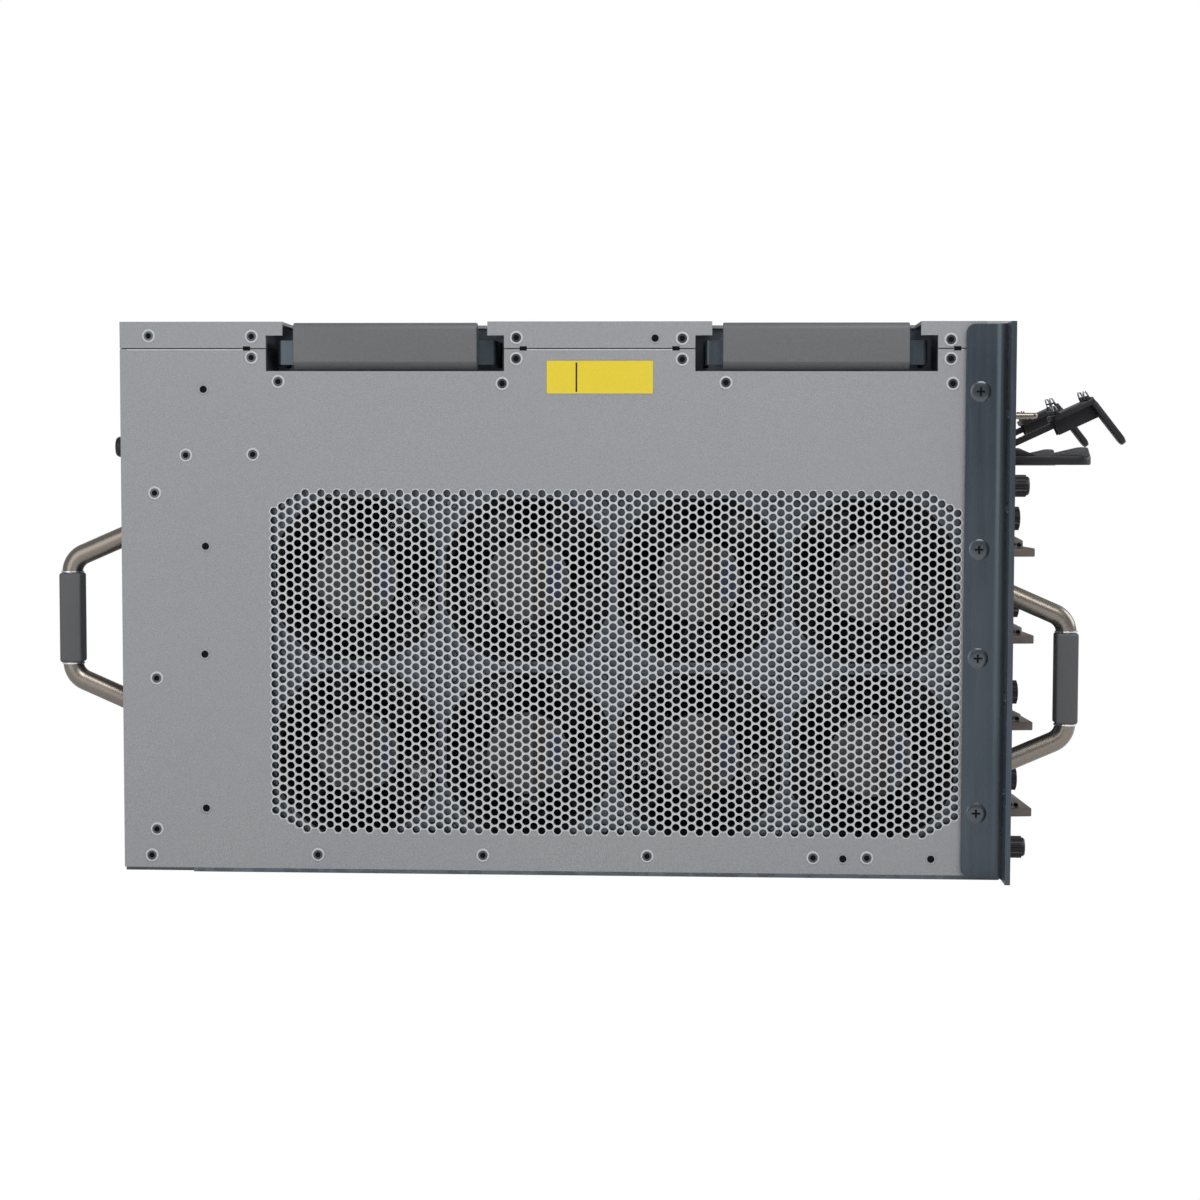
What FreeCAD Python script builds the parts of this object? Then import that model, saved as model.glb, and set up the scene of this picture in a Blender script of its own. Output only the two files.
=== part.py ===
"""Modular chassis switch, 6 rack units high, as a parametric FreeCAD document.

Frame: +X to the right seen from the front, the front faces -Y, +Z up. The origin is the centre of the base.
Every driving size is a cell of the sheet, and every feature is bound to those cells by an expression.
"""

import FreeCAD, Part
import math
import os
import re

import Sketcher

SIZES = {
    # Casing
    "chassis_width": 439.4,
    "chassis_depth": 425,
    "chassis_height": 265.9,
    "sheet": 1.5,
    "pan_sheet": 2,
    "seat_gap": 0.5,
    "skirt_seam": 253.3,
    "header_depth": 11,
    "header_drop": 24.1,
    "wall_front_gap": 2.5,
    "wall_flange": 8,
    "pan_corner": 34,
    "rear_vent_width": 70,
    "rear_vent_height": 4,
    "rear_vent_pitch": 11,
    "rear_vent_count": 3,
    # Perforated field of the side walls
    "field_centre": -27,
    "field_bottom": 20,
    "opening_columns": 6,
    "opening_rows": 2,
    "opening_column_pitch": 55.3,
    "opening_row_pitch": 82.5,
    "opening_radius": 23.5,
    # Rack brackets
    "bracket_sheet": 2.5,
    "bracket_reach": 241.3,
    "bracket_leg": 20.8,
    "bracket_bottom": 1.5,
    "bracket_height": 263,
    "bracket_bend": 5,
    "bracket_corner": 4,
    "rack_slot_half_span": 232.55,
    "rack_slot_length": 10,
    "rack_slot_width": 6.8,
    "rack_slot_middle": 132.95,
    "rack_slot_inner": 88.9,
    "rack_slot_outer": 177.8,
    # Lifting handles
    "pocket_rear": 84.5,
    "pocket_spacing": 205.7,
    "pocket_width": 114.6,
    "pocket_floor": 242.3,
    "pocket_depth": 32.5,
    "pocket_sheet": 1,
    "notch_width": 98.6,
    "notch_floor": 259.3,
    "notch_depth": 30,
    "strap_width": 106,
    "strap_bottom": 245.7,
    "strap_height": 11.6,
    "strap_sheet": 1.5,
    "strap_setback": 7,
    "strap_travel": 36,
    "strap_hook": 5,
    "strap_clearance": 0.5,
    "grip_length": 88.4,
    "grip_bottom": 242.8,
    "grip_height": 22.7,
    "grip_thickness": 7,
    "grip_lip": 4,
    "grip_round": 3.5,
    # Fan bay
    "bay_width": 55.2,
    "bay_clearance": 1.8,
    "tray_bottom": 4.5,
    "tray_height": 190,
    "tray_setback": 4.2,
    "tray_width": 52,
    "tray_sheet": 1.5,
    "tray_flange": 40,
    "fan_rear": 98.9,
    "fan_pitch": 82.7,
    "fan_columns": 4,
    "fan_lower": 58.5,
    "fan_rise": 83.9,
    "fan_rows": 2,
    "fan_side": 80,
    "fan_depth": 38,
    "fan_bore": 38,
    "fan_window": 42,
    "fan_window_flat": 39.35,
    "stator_radius": 20,
    "stator_depth": 7.5,
    "strut_width": 4,
    "strut_depth": 3,
    "shaft_radius": 2,
    "running_gap": 0.05,
    "rotor_start": 10.5,
    "rotor_depth": 20,
    "rotor_hub": 19,
    "rotor_tip": 35,
    "blade_chord": 19,
    "blade_rise": 15,
    "blade_camber": 3,
    "blade_sheet": 1.6,
    "blade_count": 5,
    # Fan tray handles and screws
    "handle_front": 94.5,
    "handle_back": 121.7,
    "handle_foot": 43,
    "handle_reach": 32.5,
    "handle_arm_angle": 23.6,
    "handle_bar": 5,
    "handle_bend": 10,
    "sleeve_length": 44.4,
    "sleeve_side": 11,
    "sleeve_edge": 1.5,
    "knob_radius": 5.4,
    "knob_length": 13.5,
    "knob_collar": 3.8,
    "knob_collar_length": 3,
    "tray_knob_upper": 188.1,
    "tray_knob_lower": 11.2,
    # Card slots
    "slot_bottom": 9.5,
    "slot_pitch": 43.8,
    "slot_count": 4,
    "card_height": 42.8,
    "card_side_gap": 1,
    "card_depth": 353,
    "carrier_lift": 3,
    "carrier_sheet": 1.2,
    "guide_width": 8,
    "guide_height": 8,
    "guide_groove": 3.2,
    "guide_clearance": 0.2,
    "board_lift": 8,
    "board_sheet": 1.6,
    "board_inset": 12,
    "connector_width": 60,
    "connector_pitch": 120,
    "connector_count": 3,
    "connector_height": 10,
    "connector_depth": 7,
    "backplane_place": 150,
    "backplane_sheet": 3,
    "backplane_top": 194,
    "window_width": 46,
    "window_height": 28,
    "window_pitch": 58,
    "window_columns": 6,
    "window_front": 42.5,
    # Port banks
    "bank_start": -91,
    "bank_width": 56,
    "bank_pitch": 62,
    "bank_height": 26,
    "bank_lift": 9,
    "bank_depth": 12,
    "bank_wall": 1,
    # Card ejector levers
    "lever_inset": 8.5,
    "lever_stand": 7,
    "lever_lift": 11.4,
    "lever_height": 11.5,
    "lever_tier": 4.3,
    "lever_root": 3.9,
    "lever_upper_reach": 9,
    "lever_upper_arm": 33.6,
    "lever_arm": 48,
    "lever_reach": 15,
    "lever_boss": 5.5,
    "lever_pin": 1.5,
    "ear_sheet": 1.5,
    "ear_gap": 0.3,
    "card_knob_lift": 30.6,
    "card_knob_inset": 6.5,
    # Power supplies
    "shelf_bottom": 196,
    "shelf_depth": 361,
    "divider_sheet": 1.2,
    "bay_pitch": 109.1,
    "psu_lift": 0.8,
    "psu_height": 42.6,
    "psu_width": 106.4,
    "psu_depth": 352,
    "psu_fan_inset": 25,
    "psu_fan_bore": 18,
    "psu_fan_depth": 24,
    "psu_rotor_tip": 15.6,
    "psu_rotor_hub": 8.5,
    "psu_rotor_setback": 5,
    "psu_rotor_depth": 12,
    "psu_blade_share": 0.45,
    "inlet_inset": 64.5,
    "inlet_width": 27,
    "inlet_height": 19,
    "inlet_lift": 18,
    "inlet_depth": 16,
    "latch_inset": 47,
    "latch_width": 19,
    "latch_reach": 46.5,
    "latch_sheet": 4.4,
    "latch_pin": 1,
    "latch_barrel": 2.2,
    "latch_stand": 4,
    "bail_inset": 94,
    "bail_half": 7.5,
    "bail_reach": 25,
    "bail_wire": 1.5,
    "bail_lift": 25.3,
    "bail_stand": 3.2,
    "bail_pin": 4,
    "bail_lug": 3,
    "arm_inset": 69,
    "arm_width": 6,
    "arm_sheet": 3,
    "arm_angle": 25,
    "arm_length": 58,
    "arm_lift": 3.5,
    "cradle_start": 36,
    "cradle_length": 22,
    "cradle_width": 24,
    "cradle_sheet": 3,
    "cradle_skirt": 4,
    "cradle_gap": 0.3,
    "tongue_length": 28,
    "tongue_width": 7,
    "tongue_sheet": 3,
    "tongue_drop": 52,
}

# Reference planes of the casing, as expressions of the sheet's cells
FRONT = "(-chassis_depth / 2)"
REAR = "(chassis_depth / 2)"
SIDE = "(chassis_width / 2)"
INNER = "(chassis_width / 2 - sheet)"
LID = "(chassis_height - sheet)"
WALL_TOP = "(skirt_seam - seat_gap)"
WALL_FRONT = f"({FRONT} + wall_front_gap)"
BAY_EDGE = f"(-{INNER} + bay_width)"
CAGE_EDGE = f"({BAY_EDGE} + sheet)"
TRAY_FACE = f"(-{SIDE} + tray_setback + tray_sheet)"
TRAY_EDGE = f"(-{INNER} + bay_clearance + tray_width)"
TRAY_MIDDLE = f"({TRAY_EDGE} - tray_width / 2)"
CARD_LEFT = f"({CAGE_EDGE} + card_side_gap)"
CARD_RIGHT = f"({INNER} - card_side_gap)"
SHELF_TOP = "(shelf_bottom + sheet)"
HEADER_BOTTOM = "(chassis_height - header_drop)"
PSU_BOTTOM = f"({SHELF_TOP} + psu_lift)"

HEADER_SECTION = [
    (f"-{SIDE}", "skirt_seam"), (f"-{INNER}", "skirt_seam"), (f"-{INNER}", LID), (INNER, LID),
    (INNER, "skirt_seam"), (SIDE, "skirt_seam"), (SIDE, "chassis_height"), (f"-{SIDE}", "chassis_height"),
]

LINE_CARDS = (1, 4)
SLOTS = (1, 2, 3, 4)
BORE_SIDES = 20
HUB_SIDES = 12
COLLAR_SIDES = 8
KNOB_SIDES = 12
BAR_SIDES = 16
CLIP_SHARES = (0.37, 0.63)
WIRE_SIDES = 10
BANKS_LINE = 4
BANKS_SUPERVISOR = 2
BAYS_FILLED = (1, 2)
BAYS_BLANK = (3, 4)
BAY_COUNT = len(BAYS_FILLED + BAYS_BLANK)
LEFT = -1
RIGHT = 1
SIDE_NAMES = {LEFT: "left", RIGHT: "right"}
PLACES = ("rear", "front")

document = FreeCAD.newDocument("ModularChassisSwitch")
sheet = document.addObject("Spreadsheet::Sheet", "Sizes")
ALIASES = re.compile(r"\b(" + "|".join(SIZES) + r")\b")
parts = []


def fill_sheet():
    """Write each driving size to a cell of the sheet, with its name as the cell's alias."""
    for row, (alias, value) in enumerate(SIZES.items(), start=1):
        sheet.set(f"A{row}", alias)
        sheet.set(f"B{row}", str(value))
        sheet.setAlias(f"B{row}", alias)
    document.recompute()


def bound(expression):
    """Return the expression with every size's name pointing at its cell."""
    return ALIASES.sub(r"Sizes.\1", str(expression))


def number(expression):
    """Return what the expression is worth now, for a sketch's starting points."""
    value = sheet.evalExpression(str(expression))
    return float(getattr(value, "Value", value))


def bind(item, name, expression):
    item.setExpression(name, bound(expression))


# Helpers for bodies and sketches


def new_body(label):
    """Return a new body that is one sub-part of the switch."""
    body = document.addObject("PartDesign::Body", label)
    body.Label = label
    parts.append(body)
    return body


def new_sketch(body, role, level="0"):
    """Return a sketch parallel to one of the body's origin planes, at a level along the world's own axis."""
    sketch = body.newObject("Sketcher::SketchObject", f"{body.Label}_outline")
    plane = next(item for item in body.Origin.OriginFeatures if item.Role == role)
    sketch.AttachmentSupport = [(plane, "")]
    sketch.MapMode = "FlatFace"
    sign = "-" if role == "XZ_Plane" else ""
    bind(sketch, ".AttachmentOffset.Base.z", f"{sign}({level})")
    return sketch


def pin(sketch, shape, point, across, along):
    """Fix a point of a sketch's shape to a pair of expressions."""
    for kind, expression in (("DistanceX", across), ("DistanceY", along)):
        place = Sketcher.Constraint(kind, -1, 1, shape, point, number(expression))
        bind(sketch, f"Constraints[{sketch.addConstraint(place)}]", expression)


def polygon(sketch, points):
    """Draw a closed outline through points given as pairs of expressions."""
    places = [FreeCAD.Vector(number(u), number(v), 0) for u, v in points]
    first = sketch.GeometryCount
    for start, end in zip(places, places[1:] + places[:1]):
        sketch.addGeometry(Part.LineSegment(start, end))
    for index, (across, along) in enumerate(points):
        following = first + (index + 1) % len(points)
        sketch.addConstraint(Sketcher.Constraint("Coincident", first + index, 2, following, 1))
        pin(sketch, first + index, 1, across, along)


def rectangle(sketch, left, right, low, high):
    polygon(sketch, [(left, low), (right, low), (right, high), (left, high)])


def circle(sketch, across, along, radius):
    """Draw a circle with its centre and radius bound to expressions."""
    centre = FreeCAD.Vector(number(across), number(along), 0)
    ring = sketch.addGeometry(Part.Circle(centre, FreeCAD.Vector(0, 0, 1), number(radius)))
    size = sketch.addConstraint(Sketcher.Constraint("Radius", ring, number(radius)))
    bind(sketch, f"Constraints[{size}]", radius)
    pin(sketch, ring, 3, across, along)


def facets(sketch, across, along, radius, sides):
    """Draw a round outline of a few flat sides, for pieces that repeat many times."""
    corners = []
    for turn in range(sides):
        angle = (turn + 0.5) * 2 * math.pi / sides
        corners.append((f"{across} + ({radius}) * {math.cos(angle):.6f}",
                        f"{along} + ({radius}) * {math.sin(angle):.6f}"))
    polygon(sketch, corners)


def pad(body, sketch, length):
    """Pad a sketch towards the world's own axis by a length."""
    feature = body.newObject("PartDesign::Pad", "Pad")
    feature.Profile = sketch
    feature.Reversed = sketch.AttachmentSupport[0][0].Role == "XZ_Plane"
    bind(feature, "Length", length)
    return feature


def pocket(body, sketch, length):
    """Cut a sketch into the body, towards the world's own axis, by a length."""
    feature = body.newObject("PartDesign::Pocket", "Pocket")
    feature.Profile = sketch
    feature.Reversed = sketch.AttachmentSupport[0][0].Role != "XZ_Plane"
    bind(feature, "Length", length)
    return feature


def slab(body, role, box, start, stop):
    """Pad a rectangle (left, right, low, high) of an origin plane from a start level to a stop level."""
    sketch = new_sketch(body, role, start)
    rectangle(sketch, *box)
    return pad(body, sketch, f"({stop}) - ({start})")


def opening(body, role, box, start, stop):
    """Cut a rectangle of an origin plane from a start level to a stop level."""
    sketch = new_sketch(body, role, start)
    rectangle(sketch, *box)
    return pocket(body, sketch, f"({stop}) - ({start})")


def prism(body, role, points, start, stop):
    """Pad an outline of an origin plane from a start level to a stop level."""
    sketch = new_sketch(body, role, start)
    polygon(sketch, points)
    return pad(body, sketch, f"({stop}) - ({start})")


def round_outline(body, role, centre, radius, start, sides):
    """Return a sketch of a circle, or of a round outline of so many sides, at a level."""
    sketch = new_sketch(body, role, start)
    if sides:
        facets(sketch, *centre, radius, sides)
    else:
        circle(sketch, *centre, radius)
    return sketch


def disc(body, role, centre, radius, start, stop, sides=0):
    """Pad a round of an origin plane from a start level to a stop level."""
    sketch = round_outline(body, role, centre, radius, start, sides)
    return pad(body, sketch, f"({stop}) - ({start})")


def bore(body, role, centre, radius, start, stop, sides=0):
    """Cut a round of an origin plane from a start level to a stop level."""
    sketch = round_outline(body, role, centre, radius, start, sides)
    return pocket(body, sketch, f"({stop}) - ({start})")


def row_of(body, features, steps):
    """Repeat features along the body's axes: each step is an axis' role, a spacing and a count."""
    pattern = body.newObject("PartDesign::MultiTransform", "Repeat")
    pattern.Originals = features
    lines = []
    for role, spacing, count in steps:
        line = body.newObject("PartDesign::LinearPattern", "Row")
        axis = next(item for item in body.Origin.OriginFeatures if item.Role == role)
        line.Direction = (axis, [""])
        line.Mode = "Spacing"
        line.Reversed = str(spacing).startswith("-")
        bind(line, "Offset", str(spacing).lstrip("-"))
        bind(line, "Occurrences", count)
        lines.append(line)
    pattern.Transformations = lines
    body.Tip = pattern
    return pattern


def turns_of(body, features, role, count):
    """Repeat features round one of the body's axes."""
    pattern = body.newObject("PartDesign::PolarPattern", "Turns")
    pattern.Originals = features
    axis = next(item for item in body.Origin.OriginFeatures if item.Role == role)
    pattern.Axis = (axis, [""])
    pattern.Angle = 360
    bind(pattern, "Occurrences", count)
    body.Tip = pattern
    return pattern


def round_edges(body, radius, test):
    """Fillet the edges of the body whose middle passes a test."""
    document.recompute()
    base = body.Tip
    names = []
    for index, edge in enumerate(base.Shape.Edges, start=1):
        if isinstance(edge.Curve, Part.Line) and test(edge, edge.CenterOfMass):
            names.append(f"Edge{index}")
    feature = body.newObject("PartDesign::Fillet", "Round")
    feature.Base = (base, names)
    bind(feature, "Radius", radius)
    return feature


def flip(side, expression):
    """Return an expression mirrored to the left side, or as it is on the right side."""
    return f"({side} * ({expression}))"


def levels(side, low, high):
    """Return the start and stop of a span in X, mirrored to the left side where side says so."""
    return (low, high) if side == RIGHT else (f"-({high})", f"-({low})")


def near(value, expression, tolerance=0.01):
    return abs(value - number(expression)) < tolerance


def pocket_centre(place):
    return "pocket_rear" if place == "rear" else "(pocket_rear - pocket_spacing)"


def slot_floor(slot):
    return f"(slot_bottom + {slot - 1} * slot_pitch)"


def bay_left(bay):
    """Return the left face of a power supply, in a bay counted from the left."""
    return f"({bay - 1 - BAY_COUNT // 2} * bay_pitch + (bay_pitch - psu_width) / 2)"


# Casing


def side_wall(side):
    """Punched sheet with the air field, the lifting handles' cut-outs and three tabs folded in at its top."""
    wall = new_body(f"side_wall_{SIDE_NAMES[side]}")
    skin = levels(side, INNER, SIDE)
    slab(wall, "YZ_Plane", (WALL_FRONT, REAR, "pan_sheet", WALL_TOP), *skin)
    tabs = [
        (f"{pocket_centre('rear')} + pocket_width / 2 + wall_flange", f"{REAR} - wall_flange"),
        (f"{pocket_centre('front')} + pocket_width / 2 + wall_flange",
         f"{pocket_centre('rear')} - pocket_width / 2 - wall_flange"),
        (WALL_FRONT, f"{pocket_centre('front')} - pocket_width / 2 - wall_flange"),
    ]
    for front, back in tabs:
        limits = levels(side, f"{INNER} - wall_flange", INNER)
        slab(wall, "XY_Plane", (*limits, front, back), f"{WALL_TOP} - sheet", WALL_TOP)
    for place in PLACES:
        centre = pocket_centre(place)
        ends = (f"{centre} - pocket_width / 2", f"{centre} + pocket_width / 2")
        opening(wall, "YZ_Plane", (*ends, "pocket_floor", f"{WALL_TOP} + sheet"), *skin)
    sketch = new_sketch(wall, "YZ_Plane", skin[0])
    first = "(field_centre - (opening_columns - 0.5) * opening_column_pitch / 2)"
    lowest = "(field_bottom + opening_row_pitch / 4)"
    for shift in (0, 0.5):
        across = f"{first} + {shift} * opening_column_pitch"
        along = f"{lowest} + {shift} * opening_row_pitch + opening_radius / 4"
        corners = []
        for turn in range(6):
            angle = math.pi / 6 + turn * math.pi / 3
            corners.append((f"{across} + opening_radius * {math.cos(angle):.6f}",
                            f"{along} + opening_radius * {math.sin(angle):.6f}"))
        polygon(sketch, corners)
    holes = pocket(wall, sketch, "sheet")
    row_of(wall, [holes], [("Y_Axis", "opening_column_pitch", "opening_columns"),
                           ("Z_Axis", "opening_row_pitch", "opening_rows")])


def top_cover():
    """Lid sheet, notched where fingers reach behind the lifting handles."""
    cover = new_body("top_cover")
    slab(cover, "XY_Plane", (f"-{SIDE}", SIDE, f"{FRONT} + header_depth", REAR), LID, "chassis_height")
    for side in (LEFT, RIGHT):
        reach = levels(side, f"{SIDE} - notch_depth", SIDE)
        for place in PLACES:
            opening(cover, "XY_Plane", (*reach, *notch_limits(place)), LID, "chassis_height")


def cover_skirts():
    """The lid's two side skirts, open above the lifting handles and stepped beside their pockets."""
    skirts = new_body("cover_skirts")
    for side in (LEFT, RIGHT):
        skin = levels(side, INNER, SIDE)
        slab(skirts, "YZ_Plane", (f"{FRONT} + header_depth", REAR, "skirt_seam", LID), *skin)
        for place in PLACES:
            centre = pocket_centre(place)
            wide = (f"{centre} - pocket_width / 2", f"{centre} + pocket_width / 2")
            opening(skirts, "YZ_Plane", (*wide, "skirt_seam", "notch_floor"), *skin)
            opening(skirts, "YZ_Plane", (*notch_limits(place), "skirt_seam", LID), *skin)


def notch_limits(place):
    """Return the front and back limits of the lid's notch over a lifting handle."""
    centre = pocket_centre(place)
    return f"{centre} - notch_width / 2", f"{centre} + notch_width / 2"


def front_header():
    """Front end piece of the lid, folded down over the power supplies."""
    header = new_body("front_header")
    prism(header, "XZ_Plane", HEADER_SECTION, f"{FRONT} + sheet", f"{FRONT} + header_depth")
    face = (f"-{SIDE}", SIDE, HEADER_BOTTOM, "chassis_height")
    slab(header, "XZ_Plane", face, FRONT, f"{FRONT} + sheet")


def bottom_pan():
    """Floor sheet with two upturned flanges inside the walls and a front lip under the lowest card."""
    pan = new_body("bottom_pan")
    slab(pan, "XY_Plane", (f"-{SIDE}", SIDE, WALL_FRONT, REAR), "0", "pan_sheet")
    for side in (LEFT, RIGHT):
        ends = (WALL_FRONT, f"{REAR} - pan_corner", "pan_sheet", "slot_bottom")
        slab(pan, "YZ_Plane", ends, *levels(side, f"{INNER} - sheet", INNER))
        corner = levels(side, f"{INNER} - sheet", f"{SIDE} + sheet")
        opening(pan, "XY_Plane", (*corner, f"{REAR} - pan_corner", f"{REAR} + sheet"), "0", "pan_sheet")
    lip = (CAGE_EDGE, f"{INNER} - sheet", "pan_sheet", "slot_bottom - seat_gap")
    slab(pan, "XZ_Plane", lip, WALL_FRONT, f"{WALL_FRONT} + sheet")


def rear_panel():
    """Rear sheet with the fan tray's opening and the power supplies' exhaust slots."""
    panel = new_body("rear_panel")
    slab(panel, "XZ_Plane", (f"-{INNER}", INNER, "pan_sheet", LID), f"{REAR} - sheet", REAR)
    tray = (f"-{INNER} + bay_clearance / 2", f"{TRAY_EDGE} + bay_clearance / 2",
            "tray_bottom - bay_clearance / 2", "tray_bottom + tray_height + bay_clearance / 2")
    opening(panel, "XZ_Plane", tray, f"{REAR} - sheet", REAR)
    middle = f"({bay_left(1)} + psu_width / 2)"
    vent = (f"{middle} - rear_vent_width / 2", f"{middle} + rear_vent_width / 2",
            f"{SHELF_TOP} + rear_vent_pitch", f"{SHELF_TOP} + rear_vent_pitch + rear_vent_height")
    slots = opening(panel, "XZ_Plane", vent, f"{REAR} - sheet", REAR)
    row_of(panel, [slots], [("X_Axis", "bay_pitch", str(BAY_COUNT)),
                            ("Z_Axis", "rear_vent_pitch", "rear_vent_count")])


def fan_bay_partition():
    """Sheet between the fan bay and the cards, with windows that let the air through."""
    partition = new_body("fan_bay_partition")
    limits = (f"{WALL_FRONT} + sheet", f"{REAR} - sheet", "pan_sheet", "shelf_bottom")
    slab(partition, "YZ_Plane", limits, BAY_EDGE, CAGE_EDGE)
    low = "(slot_bottom + guide_height + (slot_pitch - guide_height - window_height) / 2)"
    window = (f"{FRONT} + window_front", f"{FRONT} + window_front + window_width",
              low, f"{low} + window_height")
    holes = opening(partition, "YZ_Plane", window, BAY_EDGE, CAGE_EDGE)
    row_of(partition, [holes], [("Y_Axis", "window_pitch", "window_columns"),
                                ("Z_Axis", "slot_pitch", "slot_count")])


def card_guides():
    """Grooved rails that carry the cards' edges, one pair a slot."""
    guides = new_body("card_guides")
    low = "(slot_bottom + seat_gap)"
    groove_low = "(slot_bottom + carrier_lift - guide_clearance)"
    groove_high = "(slot_bottom + carrier_lift + carrier_sheet + guide_clearance)"
    pads = []
    for side, foot in ((LEFT, CAGE_EDGE), (RIGHT, INNER)):
        out = -side
        tip = f"{foot} + {out} * guide_width"
        root = f"{tip} - {out} * guide_groove"
        section = [(foot, low), (tip, low), (tip, groove_low), (root, groove_low), (root, groove_high),
                   (tip, groove_high), (tip, f"{low} + guide_height"), (foot, f"{low} + guide_height")]
        pads.append(prism(guides, "XZ_Plane", section, f"{WALL_FRONT} + guide_width",
                          "backplane_place - guide_width"))
    row_of(guides, pads, [("Z_Axis", "slot_pitch", "slot_count")])


def psu_cage():
    """Shelf over the cards with three dividers and a front lip, for the power supplies."""
    cage = new_body("psu_cage")
    back = f"{FRONT} + shelf_depth"
    slab(cage, "XY_Plane", (f"-{INNER}", INNER, f"{FRONT} + sheet", back), "shelf_bottom", SHELF_TOP)
    lip = (CAGE_EDGE, INNER, f"{slot_floor(4)} + card_height + seat_gap", SHELF_TOP)
    slab(cage, "XZ_Plane", lip, FRONT, f"{FRONT} + sheet")
    divider = slab(cage, "YZ_Plane", (f"{FRONT} + sheet", back, SHELF_TOP, LID),
                   "-bay_pitch - divider_sheet / 2", "-bay_pitch + divider_sheet / 2")
    row_of(cage, [divider], [("X_Axis", "bay_pitch", str(BAY_COUNT - 1))])


def backplane():
    """Board across the card cage with a row of connector blocks for each slot."""
    board = new_body("backplane")
    slab(board, "XZ_Plane", (CAGE_EDGE, INNER, "slot_bottom", "backplane_top"),
         "backplane_place", "backplane_place + backplane_sheet")
    left = f"({CARD_LEFT} + board_inset + connector_width / 2)"
    low = "(slot_bottom + board_lift + board_sheet)"
    block = slab(board, "XZ_Plane", (left, f"{left} + connector_width", low, f"{low} + connector_height"),
                 "backplane_place - connector_depth", "backplane_place")
    row_of(board, [block], [("X_Axis", "connector_pitch", "connector_count"),
                            ("Z_Axis", "slot_pitch", "slot_count")])


def rack_bracket(side):
    """Folded angle: one leg screwed to the casing's side, the other a flange with four slots for the rack."""
    bracket = new_body(f"rack_bracket_{SIDE_NAMES[side]}")
    leg = f"({SIDE} + bracket_sheet)"
    tail = f"({FRONT} + bracket_leg)"
    section = [
        (flip(side, SIDE), FRONT), (flip(side, "bracket_reach"), FRONT),
        (flip(side, "bracket_reach"), f"{FRONT} + bracket_sheet"),
        (flip(side, leg), f"{FRONT} + bracket_sheet"),
        (flip(side, leg), tail), (flip(side, SIDE), tail),
    ]
    top = "bracket_bottom + bracket_height"
    prism(bracket, "XY_Plane", section, "bracket_bottom", top)

    def upright(x, y):
        return lambda edge, middle: (abs(edge.tangentAt(edge.FirstParameter).z) > 0.9
                                     and near(middle.x, flip(side, x)) and near(middle.y, y))

    round_edges(bracket, "bracket_bend", upright(leg, f"{FRONT} + bracket_sheet"))
    round_edges(bracket, "bracket_bend + bracket_sheet", upright(SIDE, FRONT))
    round_edges(bracket, "bracket_corner", lambda edge, middle: (
        near(middle.y, tail) and abs(edge.tangentAt(edge.FirstParameter).x) > 0.9))
    sketch = new_sketch(bracket, "XZ_Plane", FRONT)
    for span in ("rack_slot_inner", "rack_slot_outer"):
        for way in (-1, 1):
            stadium(sketch, flip(side, "rack_slot_half_span"), f"rack_slot_middle + {way} * {span} / 2",
                    "rack_slot_length", "rack_slot_width")
    pocket(bracket, sketch, "bracket_sheet")


def stadium(sketch, across, along, length, width):
    """Draw a slot with round ends, lying along the sketch's first axis."""
    half = f"({length} - {width}) / 2"
    radius = number(f"{width} / 2")
    ends = []
    for way, start in ((-1, math.pi / 2), (1, -math.pi / 2)):
        centre = FreeCAD.Vector(number(f"{across} + {way} * {half}"), number(along), 0)
        ring = Part.Circle(centre, FreeCAD.Vector(0, 0, 1), radius)
        ends.append(sketch.addGeometry(Part.ArcOfCircle(ring, start, start + math.pi)))
        pin(sketch, ends[-1], 3, f"{across} + {way} * {half}", along)
    left, right = ends
    for tip, tail in (((left, 2), (right, 1)), ((right, 2), (left, 1))):
        points = [sketch.getPoint(*end) for end in (tip, tail)]
        line = sketch.addGeometry(Part.LineSegment(*points))
        sketch.addConstraint(Sketcher.Constraint("Tangent", *tip, line, 1))
        sketch.addConstraint(Sketcher.Constraint("Tangent", line, 2, *tail))
    size = sketch.addConstraint(Sketcher.Constraint("Radius", left, radius))
    bind(sketch, f"Constraints[{size}]", f"{width} / 2")


def handle_pockets():
    """Four folded boxes behind the walls' cut-outs, slotted for the straps' legs."""
    boxes = new_body("handle_pockets")
    for side in (LEFT, RIGHT):
        for place in PLACES:
            centre = pocket_centre(place)
            inner = (f"{centre} - pocket_width / 2", f"{centre} + pocket_width / 2")
            outer = (f"{inner[0]} - pocket_sheet", f"{inner[1]} + pocket_sheet")
            back = f"({INNER} - pocket_depth)"
            slab(boxes, "YZ_Plane", (*outer, "pocket_floor - pocket_sheet", LID), *levels(side, back, INNER))
            opening(boxes, "YZ_Plane", (*inner, "pocket_floor", LID),
                    *levels(side, f"{back} + pocket_sheet", INNER))
            sketch = new_sketch(boxes, "YZ_Plane", levels(side, back, f"{back} + pocket_sheet")[0])
            for way in (-1, 1):
                leg = f"({centre} + {way} * (strap_width - strap_sheet) / 2)"
                reach = "(strap_sheet / 2 + strap_clearance)"
                rectangle(sketch, f"{leg} - {reach}", f"{leg} + {reach}", "strap_bottom - strap_clearance",
                          "strap_bottom + strap_height + strap_clearance")
            pocket(boxes, sketch, "pocket_sheet")


def psu_blanks():
    """Plain plates with a folded foot over the two empty power bays."""
    blanks = new_body("psu_blanks")
    for bay in BAYS_BLANK:
        ends = (bay_left(bay), f"{bay_left(bay)} + psu_width")
        slab(blanks, "XZ_Plane", (*ends, SHELF_TOP, f"{HEADER_BOTTOM} - seat_gap"), FRONT, f"{FRONT} + sheet")
        slab(blanks, "XY_Plane", (*ends, f"{FRONT} + sheet", f"{FRONT} + header_depth"),
             SHELF_TOP, f"{SHELF_TOP} + sheet")


# Lifting handles


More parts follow.
